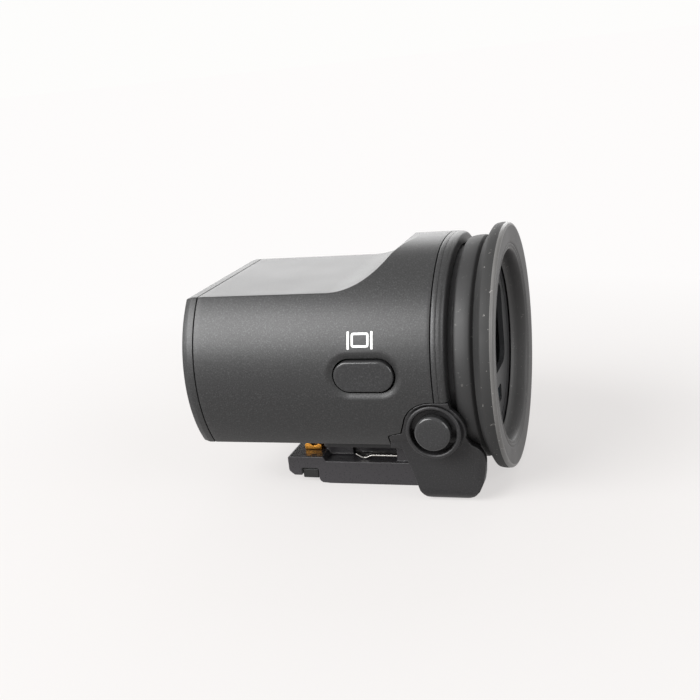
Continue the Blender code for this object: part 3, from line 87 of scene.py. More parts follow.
def aim_camera():
    azimuth, elevation, roll = (math.radians(v) for v in CAMERA_TURN)
    back = Vector((
        math.sin(azimuth) * math.cos(elevation), -math.cos(azimuth) * math.cos(elevation),
        math.sin(elevation),
    ))
    right = Vector((math.cos(azimuth), math.sin(azimuth), 0.0))
    up = back.cross(right)
    c, s = math.cos(roll), math.sin(roll)
    right, up = c * right + s * up, c * up - s * right
    place = Vector(CAMERA_TARGET) * MM + back * CAMERA_DISTANCE * MM
    data = bpy.data.cameras.new("camera")
    data.sensor_width = SENSOR
    data.lens = LENS
    data.clip_start, data.clip_end = CLIP
    camera = bpy.data.objects.new("camera", data)
    turn = Matrix((right, up, back)).transposed().to_4x4()
    camera.matrix_world = Matrix.Translation(place) @ turn
    bpy.context.scene.collection.objects.link(camera)
    bpy.context.scene.camera = camera


def area_light(name, place, size, power):
    """A soft box that looks at the part, with its place and size in metres."""
    data = bpy.data.lights.new(name, "AREA")
    data.shape = "RECTANGLE"
    data.size, data.size_y = size
    data.energy = power
    light = bpy.data.objects.new(name, data)
    light.location = place
    aim = Vector(LIGHT_TARGET) - Vector(place)
    light.rotation_euler = aim.to_track_quat("-Z", "Y").to_euler()
    bpy.context.scene.collection.objects.link(light)


def seen_directly(tree):
    """1 for rays from the camera, a reflection or a lens, 0 for soft light."""
    path = tree.nodes.new("ShaderNodeLightPath")
    total = path.outputs["Is Camera Ray"]
    for name in ("Is Glossy Ray", "Is Transmission Ray"):
        add = tree.nodes.new("ShaderNodeMath")
        add.operation = "MAXIMUM"
        tree.links.new(total, add.inputs[0])
        tree.links.new(path.outputs[name], add.inputs[1])
        total = add.outputs[0]
    return total


def set_world():
    world = bpy.data.worlds.new("studio")
    bpy.context.scene.world = world
    world.use_nodes = True
    tree = world.node_tree
    back = tree.nodes["Background"]
    back.inputs["Color"].default_value = WORLD_COLOUR
    tree.links.new(spread(tree, seen_directly(tree), SOFT_WORLD, SEEN_WORLD),
                   back.inputs["Strength"])


def make_floor():
    """A pale floor that turns white away from the part."""
    reach = FLOOR_REACH
    mesh = bpy.data.meshes.new("floor")
    mesh.from_pydata(
        [(-reach, -reach, 0.0), (reach, -reach, 0.0), (reach, reach, 0.0), (-reach, reach, 0.0)],
        [], [(0, 1, 2, 3)],
    )
    floor = bpy.data.objects.new("floor", mesh)
    bpy.context.scene.collection.objects.link(floor)
    floor.location.z = -FLOOR_DROP * MM
    material = bpy.data.materials.new("floor")
    material.use_nodes = True
    tree = material.node_tree
    tree.nodes.clear()
    out = tree.nodes.new("ShaderNodeOutputMaterial")
    diffuse = tree.nodes.new("ShaderNodeBsdfDiffuse")
    diffuse.inputs["Color"].default_value = FLOOR_COLOUR
    lift = tree.nodes.new("ShaderNodeEmission")
    lift.inputs["Color"].default_value = LIFT_COLOUR
    seen = seen_directly(tree)
    tree.links.new(spread(tree, seen, 0.0, FLOOR_LIFT), lift.inputs["Strength"])
    near = tree.nodes.new("ShaderNodeAddShader")
    tree.links.new(diffuse.outputs[0], near.inputs[0])
    tree.links.new(lift.outputs[0], near.inputs[1])
    glow = tree.nodes.new("ShaderNodeEmission")
    glow.inputs["Color"].default_value = FAR_COLOUR
    glow.inputs["Strength"].default_value = SEEN_WORLD
    coords = tree.nodes.new("ShaderNodeTexCoord")
    distance = tree.nodes.new("ShaderNodeVectorMath")
    distance.operation = "LENGTH"
    tree.links.new(coords.outputs["Object"], distance.inputs[0])
    away = spread(tree, distance.outputs["Value"], 0.0, 1.0, *FADE)
    share = tree.nodes.new("ShaderNodeMath")
    share.operation = "MULTIPLY"
    tree.links.new(away, share.inputs[0])
    tree.links.new(seen, share.inputs[1])
    mix = tree.nodes.new("ShaderNodeMixShader")
    tree.links.new(share.outputs[0], mix.inputs["Fac"])
    tree.links.new(near.outputs[0], mix.inputs[1])
    tree.links.new(glow.outputs[0], mix.inputs[2])
    tree.links.new(mix.outputs[0], out.inputs["Surface"])
    mesh.materials.append(material)


# Materials. Noise scales are in waves to the metre.

FINE_BUMP = 0.02 * MM
MIDDLE = (0.3, 0.7)  # the part of a noise's range that is spread out


def new_material(name, colour, roughness, metallic=0.0, specular=0.5):
    material = bpy.data.materials.new(name)
    material.use_nodes = True
    shader = material.node_tree.nodes["Principled BSDF"]
    shader.inputs["Base Color"].default_value = (*colour, 1.0)
    shader.inputs["Roughness"].default_value = roughness
    shader.inputs["Metallic"].default_value = metallic
    shader.inputs["Specular IOR Level"].default_value = specular
    return material, material.node_tree, shader


def noise(tree, scale, detail=2.0, roughness=0.5, coords=None):
    node = tree.nodes.new("ShaderNodeTexNoise")
    node.inputs["Scale"].default_value = scale
    node.inputs["Detail"].default_value = detail
    node.inputs["Roughness"].default_value = roughness
    if coords is None:
        coords = tree.nodes.new("ShaderNodeTexCoord").outputs["Object"]
    tree.links.new(coords, node.inputs["Vector"])
    return node.outputs["Fac"]


def shade(colour, factor):
    return tuple(factor * c for c in colour)


def ramp(tree, value, stops):
    node = tree.nodes.new("ShaderNodeValToRGB")
    element = node.color_ramp.elements
    while len(element) < len(stops):
        element.new(0.5)
    for item, (place, colour) in zip(element, stops):
        item.position = place
        item.color = (*colour, 1.0)
    tree.links.new(value, node.inputs["Fac"])
    return node.outputs["Color"]


def tint(tree, value, colour, low, high):
    """The colour between two of its shades, by the middle of a noise's range."""
    return ramp(tree, value, ((MIDDLE[0], shade(colour, low)), (MIDDLE[1], shade(colour, high))))


def spread(tree, value, low, high, start=0.0, end=1.0):
    node = tree.nodes.new("ShaderNodeMapRange")
    node.inputs["From Min"].default_value = start
    node.inputs["From Max"].default_value = end
    node.inputs["To Min"].default_value = low
    node.inputs["To Max"].default_value = high
    tree.links.new(value, node.inputs["Value"])
    return node.outputs["Result"]


def vary_roughness(tree, shader, value, low, high):
    tree.links.new(spread(tree, value, low, high, *MIDDLE), shader.inputs["Roughness"])


def bump(tree, shader, height, strength, distance=FINE_BUMP):
    node = tree.nodes.new("ShaderNodeBump")
    node.inputs["Strength"].default_value = strength
    node.inputs["Distance"].default_value = distance
    tree.links.new(height, node.inputs["Height"])
    tree.links.new(node.outputs["Normal"], shader.inputs["Normal"])


def blasted_metal(name, colour, roughness, grain=0.6):
    """Bead-blasted, black anodised metal with a fine sparkle."""
    material, tree, shader = new_material(name, colour, roughness, 0.35, 0.5)
    fine = noise(tree, 5000.0, 2.0, 0.6)
    broad = noise(tree, 90.0, 2.0)
    stops = ((0.3, shade(colour, 0.72)), (0.55, colour), (0.75, shade(colour, 1.9)))
    tree.links.new(ramp(tree, fine, stops), shader.inputs["Base Color"])
    vary_roughness(tree, shader, broad, roughness - 0.015, roughness + 0.02)
    bump(tree, shader, fine, grain)
    return material


def soft_rubber(name, colour, roughness, specks, grain=0.25):
    """Rubber with a fine grain and a few pale specks of dust."""
    material, tree, shader = new_material(name, colour, roughness, 0.0, 0.5)
    fine = noise(tree, 3500.0, 3.0, 0.6)
    broad = noise(tree, 160.0, 3.0)
    dust = noise(tree, 1500.0, 2.0, 0.7)
    mix = tree.nodes.new("ShaderNodeMix")
    mix.data_type = "RGBA"
    tree.links.new(spread(tree, dust, 0.0, specks, 0.66, 0.74), mix.inputs["Factor"])
    tree.links.new(tint(tree, broad, colour, 0.85, 1.2), mix.inputs["A"])
    mix.inputs["B"].default_value = (0.5, 0.48, 0.46, 1.0)
    tree.links.new(mix.outputs["Result"], shader.inputs["Base Color"])
    vary_roughness(tree, shader, broad, roughness - 0.06, roughness + 0.06)
    bump(tree, shader, fine, grain)
    return material


def moulded_plastic(name, colour, roughness=0.45):
    """Plastic or paint with an almost smooth skin."""
    material, tree, shader = new_material(name, colour, roughness, 0.0, 0.4)
    fine = noise(tree, 5000.0, 3.0)
    vary_roughness(tree, shader, fine, roughness - 0.04, roughness + 0.04)
    tree.links.new(tint(tree, fine, colour, 0.9, 1.1), shader.inputs["Base Color"])
    bump(tree, shader, fine, 0.1)
    return material


def bare_metal(name, colour, roughness=0.28):
    """Metal brushed along X."""
    material, tree, shader = new_material(name, colour, roughness, 1.0)
    coords = tree.nodes.new("ShaderNodeTexCoord")
    scale = tree.nodes.new("ShaderNodeMapping")
    scale.inputs["Scale"].default_value = (300.0, 6000.0, 6000.0)
    tree.links.new(coords.outputs["Object"], scale.inputs["Vector"])
    brushed = noise(tree, 1.0, 2.0, 0.5, scale.outputs["Vector"])
    vary_roughness(tree, shader, brushed, roughness - 0.08, roughness + 0.1)
    tree.links.new(tint(tree, brushed, colour, 0.85, 1.0), shader.inputs["Base Color"])
    bump(tree, shader, brushed, 0.1, FINE_BUMP / 2)
    return material


def dark_glass(name, colour=(0.02, 0.03, 0.035)):
    """Coated glass over something dark, a little smeared."""
    material, tree, shader = new_material(name, colour, 0.04, 0.0, 0.5)
    smear = noise(tree, 120.0, 3.0)
    shader.inputs["Coat Weight"].default_value = 0.6
    shader.inputs["Coat Tint"].default_value = (0.55, 0.75, 0.9, 1.0)
    vary_roughness(tree, shader, smear, 0.03, 0.08)
    return material


MATERIALS = {
    "housing_metal": blasted_metal("housing_metal_look", (0.03, 0.03, 0.0305), 0.4),
    "bracket_metal": blasted_metal("bracket_metal_look", (0.02, 0.0195, 0.0205), 0.45, 0.25),
    "foot_plastic": moulded_plastic("foot_plastic_look", (0.035, 0.033, 0.036), 0.3),
    "lever_metal": blasted_metal("lever_metal_look", (0.02, 0.02, 0.02), 0.4, 0.15),
    "rubber": soft_rubber("rubber_look", (0.014, 0.0138, 0.0142), 0.6, 0.1),
    "rubber_band": soft_rubber("rubber_band_look", (0.012, 0.0118, 0.0118), 0.72, 0.4, 0.5),
    "rubber_face": soft_rubber("rubber_face_look", (0.045, 0.044, 0.044), 0.5, 0.2, 0.4),
    # The lighter rubber below is a painted highlight along the eyecup rim's rounding, with pale
    # specks of dust.
    "rubber_edge_highlight": soft_rubber("rubber_edge_highlight_look", (0.12, 0.117, 0.114), 0.38, 0.6, 0.5),
    # The darker rubber below is painted shade on the concave flare wall behind the rim.
    "rubber_flare_shade": soft_rubber("rubber_flare_shade_look", (0.01, 0.01, 0.01), 0.75, 0.1),
    "black_plastic": moulded_plastic("black_plastic_look", (0.03, 0.03, 0.0315)),
    "button_black": blasted_metal("button_black_look", (0.03, 0.03, 0.031), 0.36, 0.15),
    "polished_black": moulded_plastic("polished_black_look", (0.03, 0.03, 0.031), 0.14),
    "white_paint": moulded_plastic("white_paint_look", (0.85, 0.85, 0.84), 0.5),
    "steel": bare_metal("steel_look", (0.62, 0.6, 0.57)),
    "gold": bare_metal("gold_look", (0.75, 0.34, 0.06), 0.3),
    "glass": dark_glass("glass_look"),
    "circuit_board": moulded_plastic("circuit_board_look", (0.02, 0.09, 0.05)),
    "display_glass": dark_glass("display_glass_look", (0.008, 0.008, 0.01)),
    "amber_film": moulded_plastic("amber_film_look", (0.5, 0.22, 0.05), 0.35),
}


def dress_nodes():
    """Gives each CAD node the material of its slot in the record."""
    slots = {item["node"]: item["material_slot"] for item in frame["record"]["subparts"]}
    for name, node in frame["nodes"].items():
        for place in node.material_slots:
            place.material = MATERIALS[slots[name]]
        if not node.material_slots:
            node.data.materials.append(MATERIALS[slots[name]])


# Mesh building

WELD = 1e-7  # points closer than this become one, in metres


def mesh_object(name, points, faces, material, smooth):
    mesh = bpy.data.meshes.new(name)
    mesh.from_pydata([(x * MM, y * MM, z * MM) for x, y, z in points], [], faces)
    bm = bmesh.new()
    bm.from_mesh(mesh)
    bmesh.ops.remove_doubles(bm, verts=bm.verts, dist=WELD)
    bmesh.ops.recalc_face_normals(bm, faces=bm.faces)
    bm.to_mesh(mesh)
    bm.free()
    obj = bpy.data.objects.new(name, mesh)
    bpy.context.scene.collection.objects.link(obj)
    mesh.materials.append(material)
    if smooth:
        smooth_shade(obj)
    return obj


def smooth_shade(obj, angle=30.0):
    obj.data.shade_smooth()
    obj.data.set_sharp_from_angle(angle=math.radians(angle))


def apply_modifiers(obj):
    bpy.context.view_layer.update()
    graph = bpy.context.evaluated_depsgraph_get()
    mesh = bpy.data.meshes.new_from_object(obj.evaluated_get(graph))
    obj.modifiers.clear()
    obj.data = mesh


def boolean(obj, operation, *others):
    """Adds, cuts away or keeps what is common with the others, which are used up."""
    for other in others:
        modifier = obj.modifiers.new(operation, "BOOLEAN")
        modifier.operation = operation
        modifier.solver = "EXACT"
        modifier.object = other
    apply_modifiers(obj)
    for other in others:
        bpy.data.objects.remove(other, do_unlink=True)
    return obj


def bevelled(obj, width, segments, angle):
    edge = obj.modifiers.new("edge", "BEVEL")
    edge.width = width * MM
    edge.segments = segments
    edge.limit_method = "ANGLE"
    edge.angle_limit = math.radians(angle)
    apply_modifiers(obj)


def remeshed(obj, size, passes):
    """Rounds every edge a little by a fine even mesh."""
    remesh = obj.modifiers.new("remesh", "REMESH")
    remesh.mode = "VOXEL"
    remesh.voxel_size = size * MM
    soften = obj.modifiers.new("soften", "SMOOTH")
    soften.factor = 0.5
    soften.iterations = passes
    material = obj.data.materials[0]
    apply_modifiers(obj)
    obj.data.materials.clear()
    obj.data.materials.append(material)
    obj.data.shade_smooth()


def loft(name, rings, material, wrap=False, smooth=True):
    """Joins rings of equal length, closed at both ends or, with wrap, joined end to end."""
    count = len(rings[0])
    points = [p for ring in rings for p in ring]
    faces = []
    pairs = list(range(len(rings) - 1)) + ([len(rings) - 1] if wrap else [])
    for k in pairs:
        low, high = k * count, ((k + 1) % len(rings)) * count
        for i in range(count):
            j = (i + 1) % count
            faces.append((low + i, low + j, high + j, high + i))
    if not wrap:
        faces.append(tuple(range(count)))
        faces.append(tuple(range(len(points) - count, len(points))))
    return mesh_object(name, points, faces, material, smooth)


def turned(name, profile, place, material, steps, wrap):
    """Turns (radius, along) points. place gives a point from two across and one along."""
    rings = []
    for radius, along in profile:
        angles = [math.tau * i / steps for i in range(steps)]
        rings.append([
            place(radius * math.cos(angle), radius * math.sin(angle), along) for angle in angles
        ])
    return loft(name, rings, material, wrap)


def lathe(name, profile, material, steps, wrap=True):
    """Turns (radius, x) points about the optical axis."""
    return turned(name, profile, lambda u, v, x: (x, u, AXIS_Z + v), material, steps, wrap)


def cylinder(name, radius, low, high, material):
    """A solid cylinder on the optical axis."""
    return lathe(name, [(radius, low), (radius, high)], material, 120, False)


def lathe_y(name, profile, centre, material, steps=96, wrap=False):
    """Turns (radius, y) points about an axis along Y through (x, z)."""
    return turned(name, profile, lambda u, v, y: (centre[0] + u, y, centre[1] + v),
                  material, steps, wrap)


def lathe_z(name, profile, centre, material):
    """Turns (radius, z) points about an upright axis through (x, y)."""
    return turned(name, profile, lambda u, v, z: (centre[0] + u, centre[1] + v, z),
                  material, 48, False)


def arc(centre, radius, start, end, steps):
    """Points from one angle to another, in degrees."""
    return [
        (centre[0] + radius * math.cos(math.radians(start + (end - start) * i / steps)),
         centre[1] + radius * math.sin(math.radians(start + (end - start) * i / steps)))
        for i in range(steps + 1)
    ]


def rounded(points, radii, steps):
    """The closed outline with each corner rounded by its radius."""
    result = []
    count = len(points)
    for i, radius in enumerate(radii):
        before, here, after = (Vector(points[(i + k) % count]) for k in (-1, 0, 1))
        a, b = before - here, after - here
        if radius <= 0.0:
            result.append(tuple(here))
            continue
        a_unit, b_unit = a.normalized(), b.normalized()
        half = a_unit.angle(b_unit) / 2.0
        reach = min(radius / math.tan(half), 0.48 * a.length, 0.48 * b.length)
        real = reach * math.tan(half)
        centre = here + (a_unit + b_unit).normalized() * (real / math.sin(half))
        start = here + a_unit * reach - centre
        end = here + b_unit * reach - centre
        for k in range(steps + 1):
            turn = start.lerp(end, k / steps)
            result.append(tuple(centre + turn.normalized() * real))
    return result


def slab(name, outline, normal, low, high, material):
    """A flat outline with thickness: Y takes (x, z) points, X takes (y, z), Z takes (x, y)."""
    place = {
        "X": lambda u, v, w: (w, u, v),
        "Y": lambda u, v, w: (u, w, v),
        "Z": lambda u, v, w: (u, v, w),
    }[normal]
    rings = [[place(u, v, w) for u, v in outline] for w in (low, high)]
    return loft(name, rings, material, smooth=False)


def box(name, low, high, material):
    outline = [(low[0], low[1]), (high[0], low[1]), (high[0], high[1]), (low[0], high[1])]
    return slab(name, outline, "Z", low[2], high[2], material)


def middle_box(name, half, along, up, material):
    """A box with half its width on each side of the middle plane, between two x and two z."""
    return box(name, (along[0], -half, up[0]), (along[1], half, up[1]), material)


def on_side(sign, inner, outer):
    """The y range between two distances from the middle plane, on one side of it."""
    return sorted((sign * inner, sign * outer))


def rounded_rectangle(centre, width, height, radius, steps):
    """The outline of a rectangle with round corners, without doubled points."""
    points = []
    for side_u, side_v, start in ((1, 1, 0), (-1, 1, 90), (-1, -1, 180), (1, -1, 270)):
        middle = (centre[0] + side_u * (width / 2 - radius),
                  centre[1] + side_v * (height / 2 - radius))
        points += arc(middle, radius, start, start + 90, steps)
    kept = []
    for point in points:
        if not kept or math.dist(point, kept[-1]) > 1e-5:
            kept.append(point)
    if math.dist(kept[0], kept[-1]) < 1e-5:
        kept.pop()
    return kept


def node_box(name):
    """The lowest and the highest corner of a CAD node."""
    node = frame["nodes"][name]
    places = [node.matrix_world @ vertex.co / MM for vertex in node.data.vertices]
    return [tuple(pick(place[i] for place in places) for i in range(3)) for pick in (min, max)]


def show(piece, body, slot, *nodes):
    """Puts a finished piece in its body, in place of the CAD nodes named. The slot is not used."""
    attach(piece, body)
    if nodes:
        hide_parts(*nodes)


# Housing and front cap

HOUSING_FRONT, HOUSING_BACK = -22.0, 14.34
HOUSING_EDGE = 0.07  # rounding of the housing's two rims
WALL = 1.5
LENS_ROOM_X = 12.5  # from here back the floor is thin, to leave the lens its room
THIN_FLOOR = 0.4
FINE_X = (-2.6, 11.8)  # sections are close together along the scoop and the dish
FRONT_STEP, FINE_STEP, BACK_STEP, INNER_STEP = 0.9, 0.18, 0.5, 1.2  # between two sections

SCOOP_START = -1.6
SCOOP_R = 11.5
SCOOP_ANGLE = math.radians(50.0)
SCOOP_TOP = 18.05  # above the axis
CREST_FROM = 16.0  # above the axis
CREST_DROP = 0.1  # to the square of the height over CREST_FROM

CAP_FRONT, CAP_BACK = -24.0, -22.14
CAP_CHAMFER = 0.28
SPIGOT_R = 16.1
SPIGOT_WALL = 1.9
SPIGOT_BACK = -20.0

PILL = (4.42, 20.72)  # middle of the pill button, (x, z)
PILL_SIZE = (8.95, 4.6)
PILL_GAP = 0.27
DISH_START = 0.1  # distance from the button's outline
DISH_WIDTH = 1.2
DISH_DEPTH = 0.42
DISH_SIDE = -10.0  # only points on the near side of this y are sunk


def top_height(x):
    """Height of the housing's top above the axis: flat, then a scoop up to the full round."""
    crest = (SCOOP_TOP - TOP_FLAT) / (1.0 - math.cos(SCOOP_ANGLE)) - SCOOP_R
    middle = SCOOP_START + SCOOP_R * math.sin(SCOOP_ANGLE)
    reach = SCOOP_START + (SCOOP_R + crest) * math.sin(SCOOP_ANGLE)
    if x <= SCOOP_START:
        return TOP_FLAT
    if x <= middle:
        return TOP_FLAT + SCOOP_R - math.sqrt(SCOOP_R ** 2 - (x - SCOOP_START) ** 2)
    if x <= reach:
        return SCOOP_TOP - crest + math.sqrt(crest ** 2 - (reach - x) ** 2)
    return SCOOP_TOP


def half_section(radius, top, bottom, side_shares):
    """Half of a section as (distance from the middle plane, height), from the top down."""
    top = min(top, radius - 0.02)  # the top keeps a narrow flat
    flat_count, floor_count = 10, 6
    z_top = top - FILLET
    y_top = math.sqrt((radius - FILLET) ** 2 - z_top ** 2)
    points = [(y_top * i / flat_count, top) for i in range(flat_count)]
    start = math.degrees(math.atan2(z_top, y_top))
    points += arc((y_top, z_top), FILLET, 90, start, 5)
    z_low = bottom + FILLET
    y_low = math.sqrt((radius - FILLET) ** 2 - z_low ** 2)
    end = math.degrees(math.atan2(z_low, y_low))
    for share in side_shares:
        angle = math.radians(start + (end - start) * share)
        points.append((radius * math.cos(angle), radius * math.sin(angle)))
    points += arc((y_low, z_low), FILLET, end, -90, 5)
    points += [(y_low * (1.0 - i / floor_count), bottom) for i in range(1, floor_count + 1)]
    return points


# Where a section's points lie along its round side, close together across the dish
NEAR_SHARES = [i / 40 * 0.25 for i in range(1, 40)] + [0.25 + i / 130 * 0.5 for i in range(131)]
NEAR_SHARES += [0.75 + i / 36 * 0.25 for i in range(1, 36)]
FAR_SHARES = [i / 90 for i in range(1, 90)]


def section(x, radius, top, bottom):
    """The round outline across the axis at x, cut off at the top and the bottom."""
    near = half_section(radius, top, bottom, NEAR_SHARES)
    far = half_section(radius, top, bottom, FAR_SHARES)
    ring = [(x, -y, AXIS_Z + z) for y, z in near]
    ring += [(x, y, AXIS_Z + z) for y, z in reversed(far[1:-1])]
    return ring


def pill_distance(x, z):
    """Distance outside the button's outline, in the plane of the button."""
    half = (PILL_SIZE[0] - PILL_SIZE[1]) / 2
    along = max(abs(x - PILL[0]) - half, 0.0)
    return math.hypot(along, z - PILL[1]) - PILL_SIZE[1] / 2


def pill_outline(grow):
    """The button's outline as (x, z) points, with room all round or, below 0, drawn in."""
    return rounded_rectangle(PILL, PILL_SIZE[0] + 2 * grow, PILL_SIZE[1] + 2 * grow,
                             PILL_SIZE[1] / 2 + grow - 0.001, 16)


def smoothstep(value):
    value = min(max(value, 0.0), 1.0)
    return value * value * (3.0 - 2.0 * value)


def dished(point):
    """Sinks the near side round the pill button into a shallow dish."""
    x, y, z = point
    if y > DISH_SIDE:
        return point
    distance = pill_distance(x, z)
    depth = DISH_DEPTH * smoothstep(1.0 - (distance - DISH_START) / DISH_WIDTH)
    if depth <= 0.0:
        return point
    reach = math.hypot(y, z - AXIS_Z)
    scale = (reach - depth) / reach
    return (x, y * scale, AXIS_Z + (z - AXIS_Z) * scale)


def stations(low, high, step):
    """Even places from low up to high, without high itself."""
    count = max(1, round((high - low) / step))
    return [low + (high - low) * i / count for i in range(count)]


def lower_crest(obj):
    """The round shells are a little flatter along their top."""
    for vertex in obj.data.vertices:
        rise = vertex.co.z / MM - AXIS_Z - CREST_FROM
        if rise > 0.0:
            vertex.co.z -= CREST_DROP * rise * rise * MM


def make_housing():
    metal = MATERIALS["housing_metal"]
    low, high, edge = HOUSING_FRONT, HOUSING_BACK, HOUSING_EDGE
    marks = [low, low + edge / 2] + stations(low + edge, FINE_X[0], FRONT_STEP)
    marks += stations(*FINE_X, FINE_STEP) + stations(FINE_X[1], high - edge, BACK_STEP)
    marks += [high - edge, high - edge / 2, high]
    rings = []
    for x in marks:
        past = max(edge - (x - low), edge - (high - x), 0.0)
        inset = edge - math.sqrt(max(edge ** 2 - past ** 2, 0.0))
        ring = section(x, BODY_R - inset, top_height(x) - inset, BOTTOM_FLAT + inset)
        rings.append([dished(p) for p in ring])
    inner = []
    for x in stations(low, high, INNER_STEP) + [high]:
        floor = WALL if x < LENS_ROOM_X else THIN_FLOOR
        inner.append(section(x, BODY_R - WALL, top_height(x) - WALL, BOTTOM_FLAT + floor))
    shell = loft("housing_shell", rings + inner[::-1], metal, True)
    hole = slab("hole", pill_outline(PILL_GAP), "Y", -20.0, -13.0, metal)
    boolean(shell, "DIFFERENCE", hole, *ear_rooms(SEAM))
    lower_crest(shell)
    smooth_shade(shell)
    show(shell, "viewfinder", "housing_metal", "housing")


def make_cap():
    metal = MATERIALS["housing_metal"]
    front, back, chamfer = CAP_FRONT, CAP_BACK, CAP_CHAMFER
    marks = [
        (back, 0.08), (back - 0.02, 0.03), (back - 0.07, 0.0), (front + 1.0, 0.0),
        (front + 0.92, 0.015), (front + 0.8, 0.05), (front + 0.14, chamfer - 0.05),
        (front + 0.05, chamfer), (front + 0.01, chamfer + 0.06), (front, chamfer + 0.14),
    ]
    rings = [
        section(x, BODY_R - inset, TOP_FLAT - inset, BOTTOM_FLAT + inset) for x, inset in marks
    ]
    cap = loft("front_cap_shell", rings, metal)
    spigot = loft("cap_spigot", [
        section(x, SPIGOT_R, TOP_FLAT - SPIGOT_WALL, BOTTOM_FLAT + SPIGOT_WALL)
        for x in (back - 0.5, SPIGOT_BACK)
    ], metal)
    boolean(cap, "UNION", spigot)
    smooth_shade(cap)
    show(cap, "viewfinder", "housing_metal", "front_cap")


# Bracket with its two ears and their bosses

BOSS = (13.82, 12.09)  # middle of the boss, (x, z)
BOSS_STEP_R = 4.25
BUTTON_ROOM_R = 3.6
EAR_R = 4.55
EAR_FRONT = 6.58
EAR_INNER = 12.4  # the ears are let in past this distance from the middle plane
EAR_FLOOR_R = 16.3  # and past this radius
LEG_HALF = 14.8
LEG_CORNER = 2.2
SADDLE_R = 16.6
RING_HALF = 12.65  # the rings reach down into the bracket between its ears
FOOT_GAP = 0.25  # from the foot to the bracket
FAR_Y = 19.5  # past the part on either side
AHEAD = -2.0  # ahead of the bracket


def bracket_side(grow):
    """The ear's outline, with the leg under it, or with grow the room for the ear."""
    ear = EAR_R + grow
    outline = [(16.4, BOSS[1] + ear), (BOSS[0], BOSS[1] + ear)]
    outline += arc(BOSS, ear, 90, 166, 28)[1:]
    outline += [(8.68 - grow, 11.3 + grow), (7.1, 10.9 + grow)]
    outline += arc((7.0, 10.42), 0.42 + grow, 100, 180, 6)
    if grow:
        return outline + [
            (EAR_FRONT - grow, -2.0), (20.7 + grow, -2.0), (20.7 + grow, BOSS[1] + ear),
        ]
    leg = [
        (EAR_FRONT, 8.5), (8.3, 8.5), (8.8, 6.72), (9.23, 5.61), (9.6, 4.5), (10.04, 2.8),
        (10.41, 1.6), (11.1, 0.5), (11.9, 0.08), (12.3, 0.0), (16.4, 0.0), (17.5, 0.22),
        (18.5, 0.75), (19.35, 1.7), (19.95, 2.95), (20.3, 4.5), (20.45, 6.2), (20.4, 7.2),
        (20.1, 8.1), (19.5, 8.75), (18.7, 9.25), (18.34, 9.8), (18.22, 10.4),
    ]
    return outline + leg + arc(BOSS, EAR_R, -20, 52, 16)


def ear_rooms(grow):
    """Cutters for the places where the bracket's ears are let into the round shells."""
    metal = MATERIALS["housing_metal"]
    rooms = []
    for sign in (-1, 1):
        room = slab("ear_room", bracket_side(grow), "Y", *on_side(sign, EAR_INNER, FAR_Y), metal)
        core = cylinder("ear_core", EAR_FLOOR_R, -3.0, 26.0, metal)
        rooms.append(boolean(room, "DIFFERENCE", core))
    return rooms


def bracket_front():
    """The bracket's outline seen along the axis: the body's round, then the two legs."""
    side = []
    low = math.acos(14.95 / BODY_R)
    steps = 24
    for i in range(steps + 1):
        angle = -low * i / steps
        side.append((BODY_R * math.cos(angle), AXIS_Z + BODY_R * math.sin(angle)))
    side += [(14.85, 8.4), (LEG_HALF, 6.0)]
    side += arc((LEG_HALF - LEG_CORNER, LEG_CORNER), LEG_CORNER, 0, -90, 10)
    return side + [(-y, z) for y, z in reversed(side)]


def bracket_plan():
    """The bracket's outline from above, with its rounded rear corners."""
    right = [(AHEAD, FAR_Y), (18.6, FAR_Y), (18.75, 14.75)]
    right += arc((19.0, 13.1), 1.7, 90, 0, 10)
    right += [(19.9, 12.2), (17.0, 10.4)]
    return right + [(x, -y) for x, y in reversed(right)]


def make_bracket():
    metal = MATERIALS["bracket_metal"]
    ring_back = 16.66
    over_rings, over_foot = (AHEAD, ring_back), (AHEAD, 10.65)
    bracket = slab("bracket_shell", bracket_side(0.0), "Y", -FAR_Y, FAR_Y, metal)
    boolean(
        bracket, "INTERSECT", slab("front_outline", bracket_front(), "X", AHEAD, 25.0, metal),
        slab("plan_outline", bracket_plan(), "Z", -1.0, 21.0, metal),
    )
    rings = middle_box("ring_room", RING_HALF, (14.1, ring_back), (0.0, 40.0), metal)
    boolean(rings, "INTERSECT", cylinder("ring_round", 18.3, 14.0, 17.0, metal))
    eyecup = lathe("eyecup_room", [
        (0.01, 26.0), (19.4, 26.0), (19.4, 21.2), (18.3, 20.5), (17.6, 19.9), (17.25, 19.4),
        (17.1, 18.1), (17.0, 17.4), (17.0, 16.4), (0.01, 16.4),
    ], metal, 120, False)
    boolean(
        bracket, "DIFFERENCE",
        cylinder("saddle_round", SADDLE_R, -3.0, ring_back, metal),
        middle_box("saddle_room", RING_HALF, over_rings, (8.25, 21.0), metal),
        rings, eyecup,
        middle_box("plate_room", FOOT_HALF + FOOT_GAP, over_foot, (-1.0, 4.0), metal),
        middle_box("neck_room", NECK_HALF + FOOT_GAP, over_foot, (-1.0, 20.0), metal),
        middle_box("base_plate_room", 12.5, over_foot, (NECK_TOP, 20.0), metal),
    )
    for sign in (-1, 1):
        step = [(BOSS_STEP_R, y) for y in on_side(sign, 17.2, FAR_Y)]
        boolean(bracket, "DIFFERENCE", lathe_y("boss_step", step, BOSS, metal, 64))
    room = [(BUTTON_ROOM_R, -FAR_Y), (BUTTON_ROOM_R, -16.4)]
    boolean(bracket, "DIFFERENCE", lathe_y("button_room", room, BOSS, metal, 64))
    remeshed(bracket, 0.13, 4)
    show(bracket, "viewfinder", "bracket_metal", "mount_bracket")
    make_boss_rims(metal)


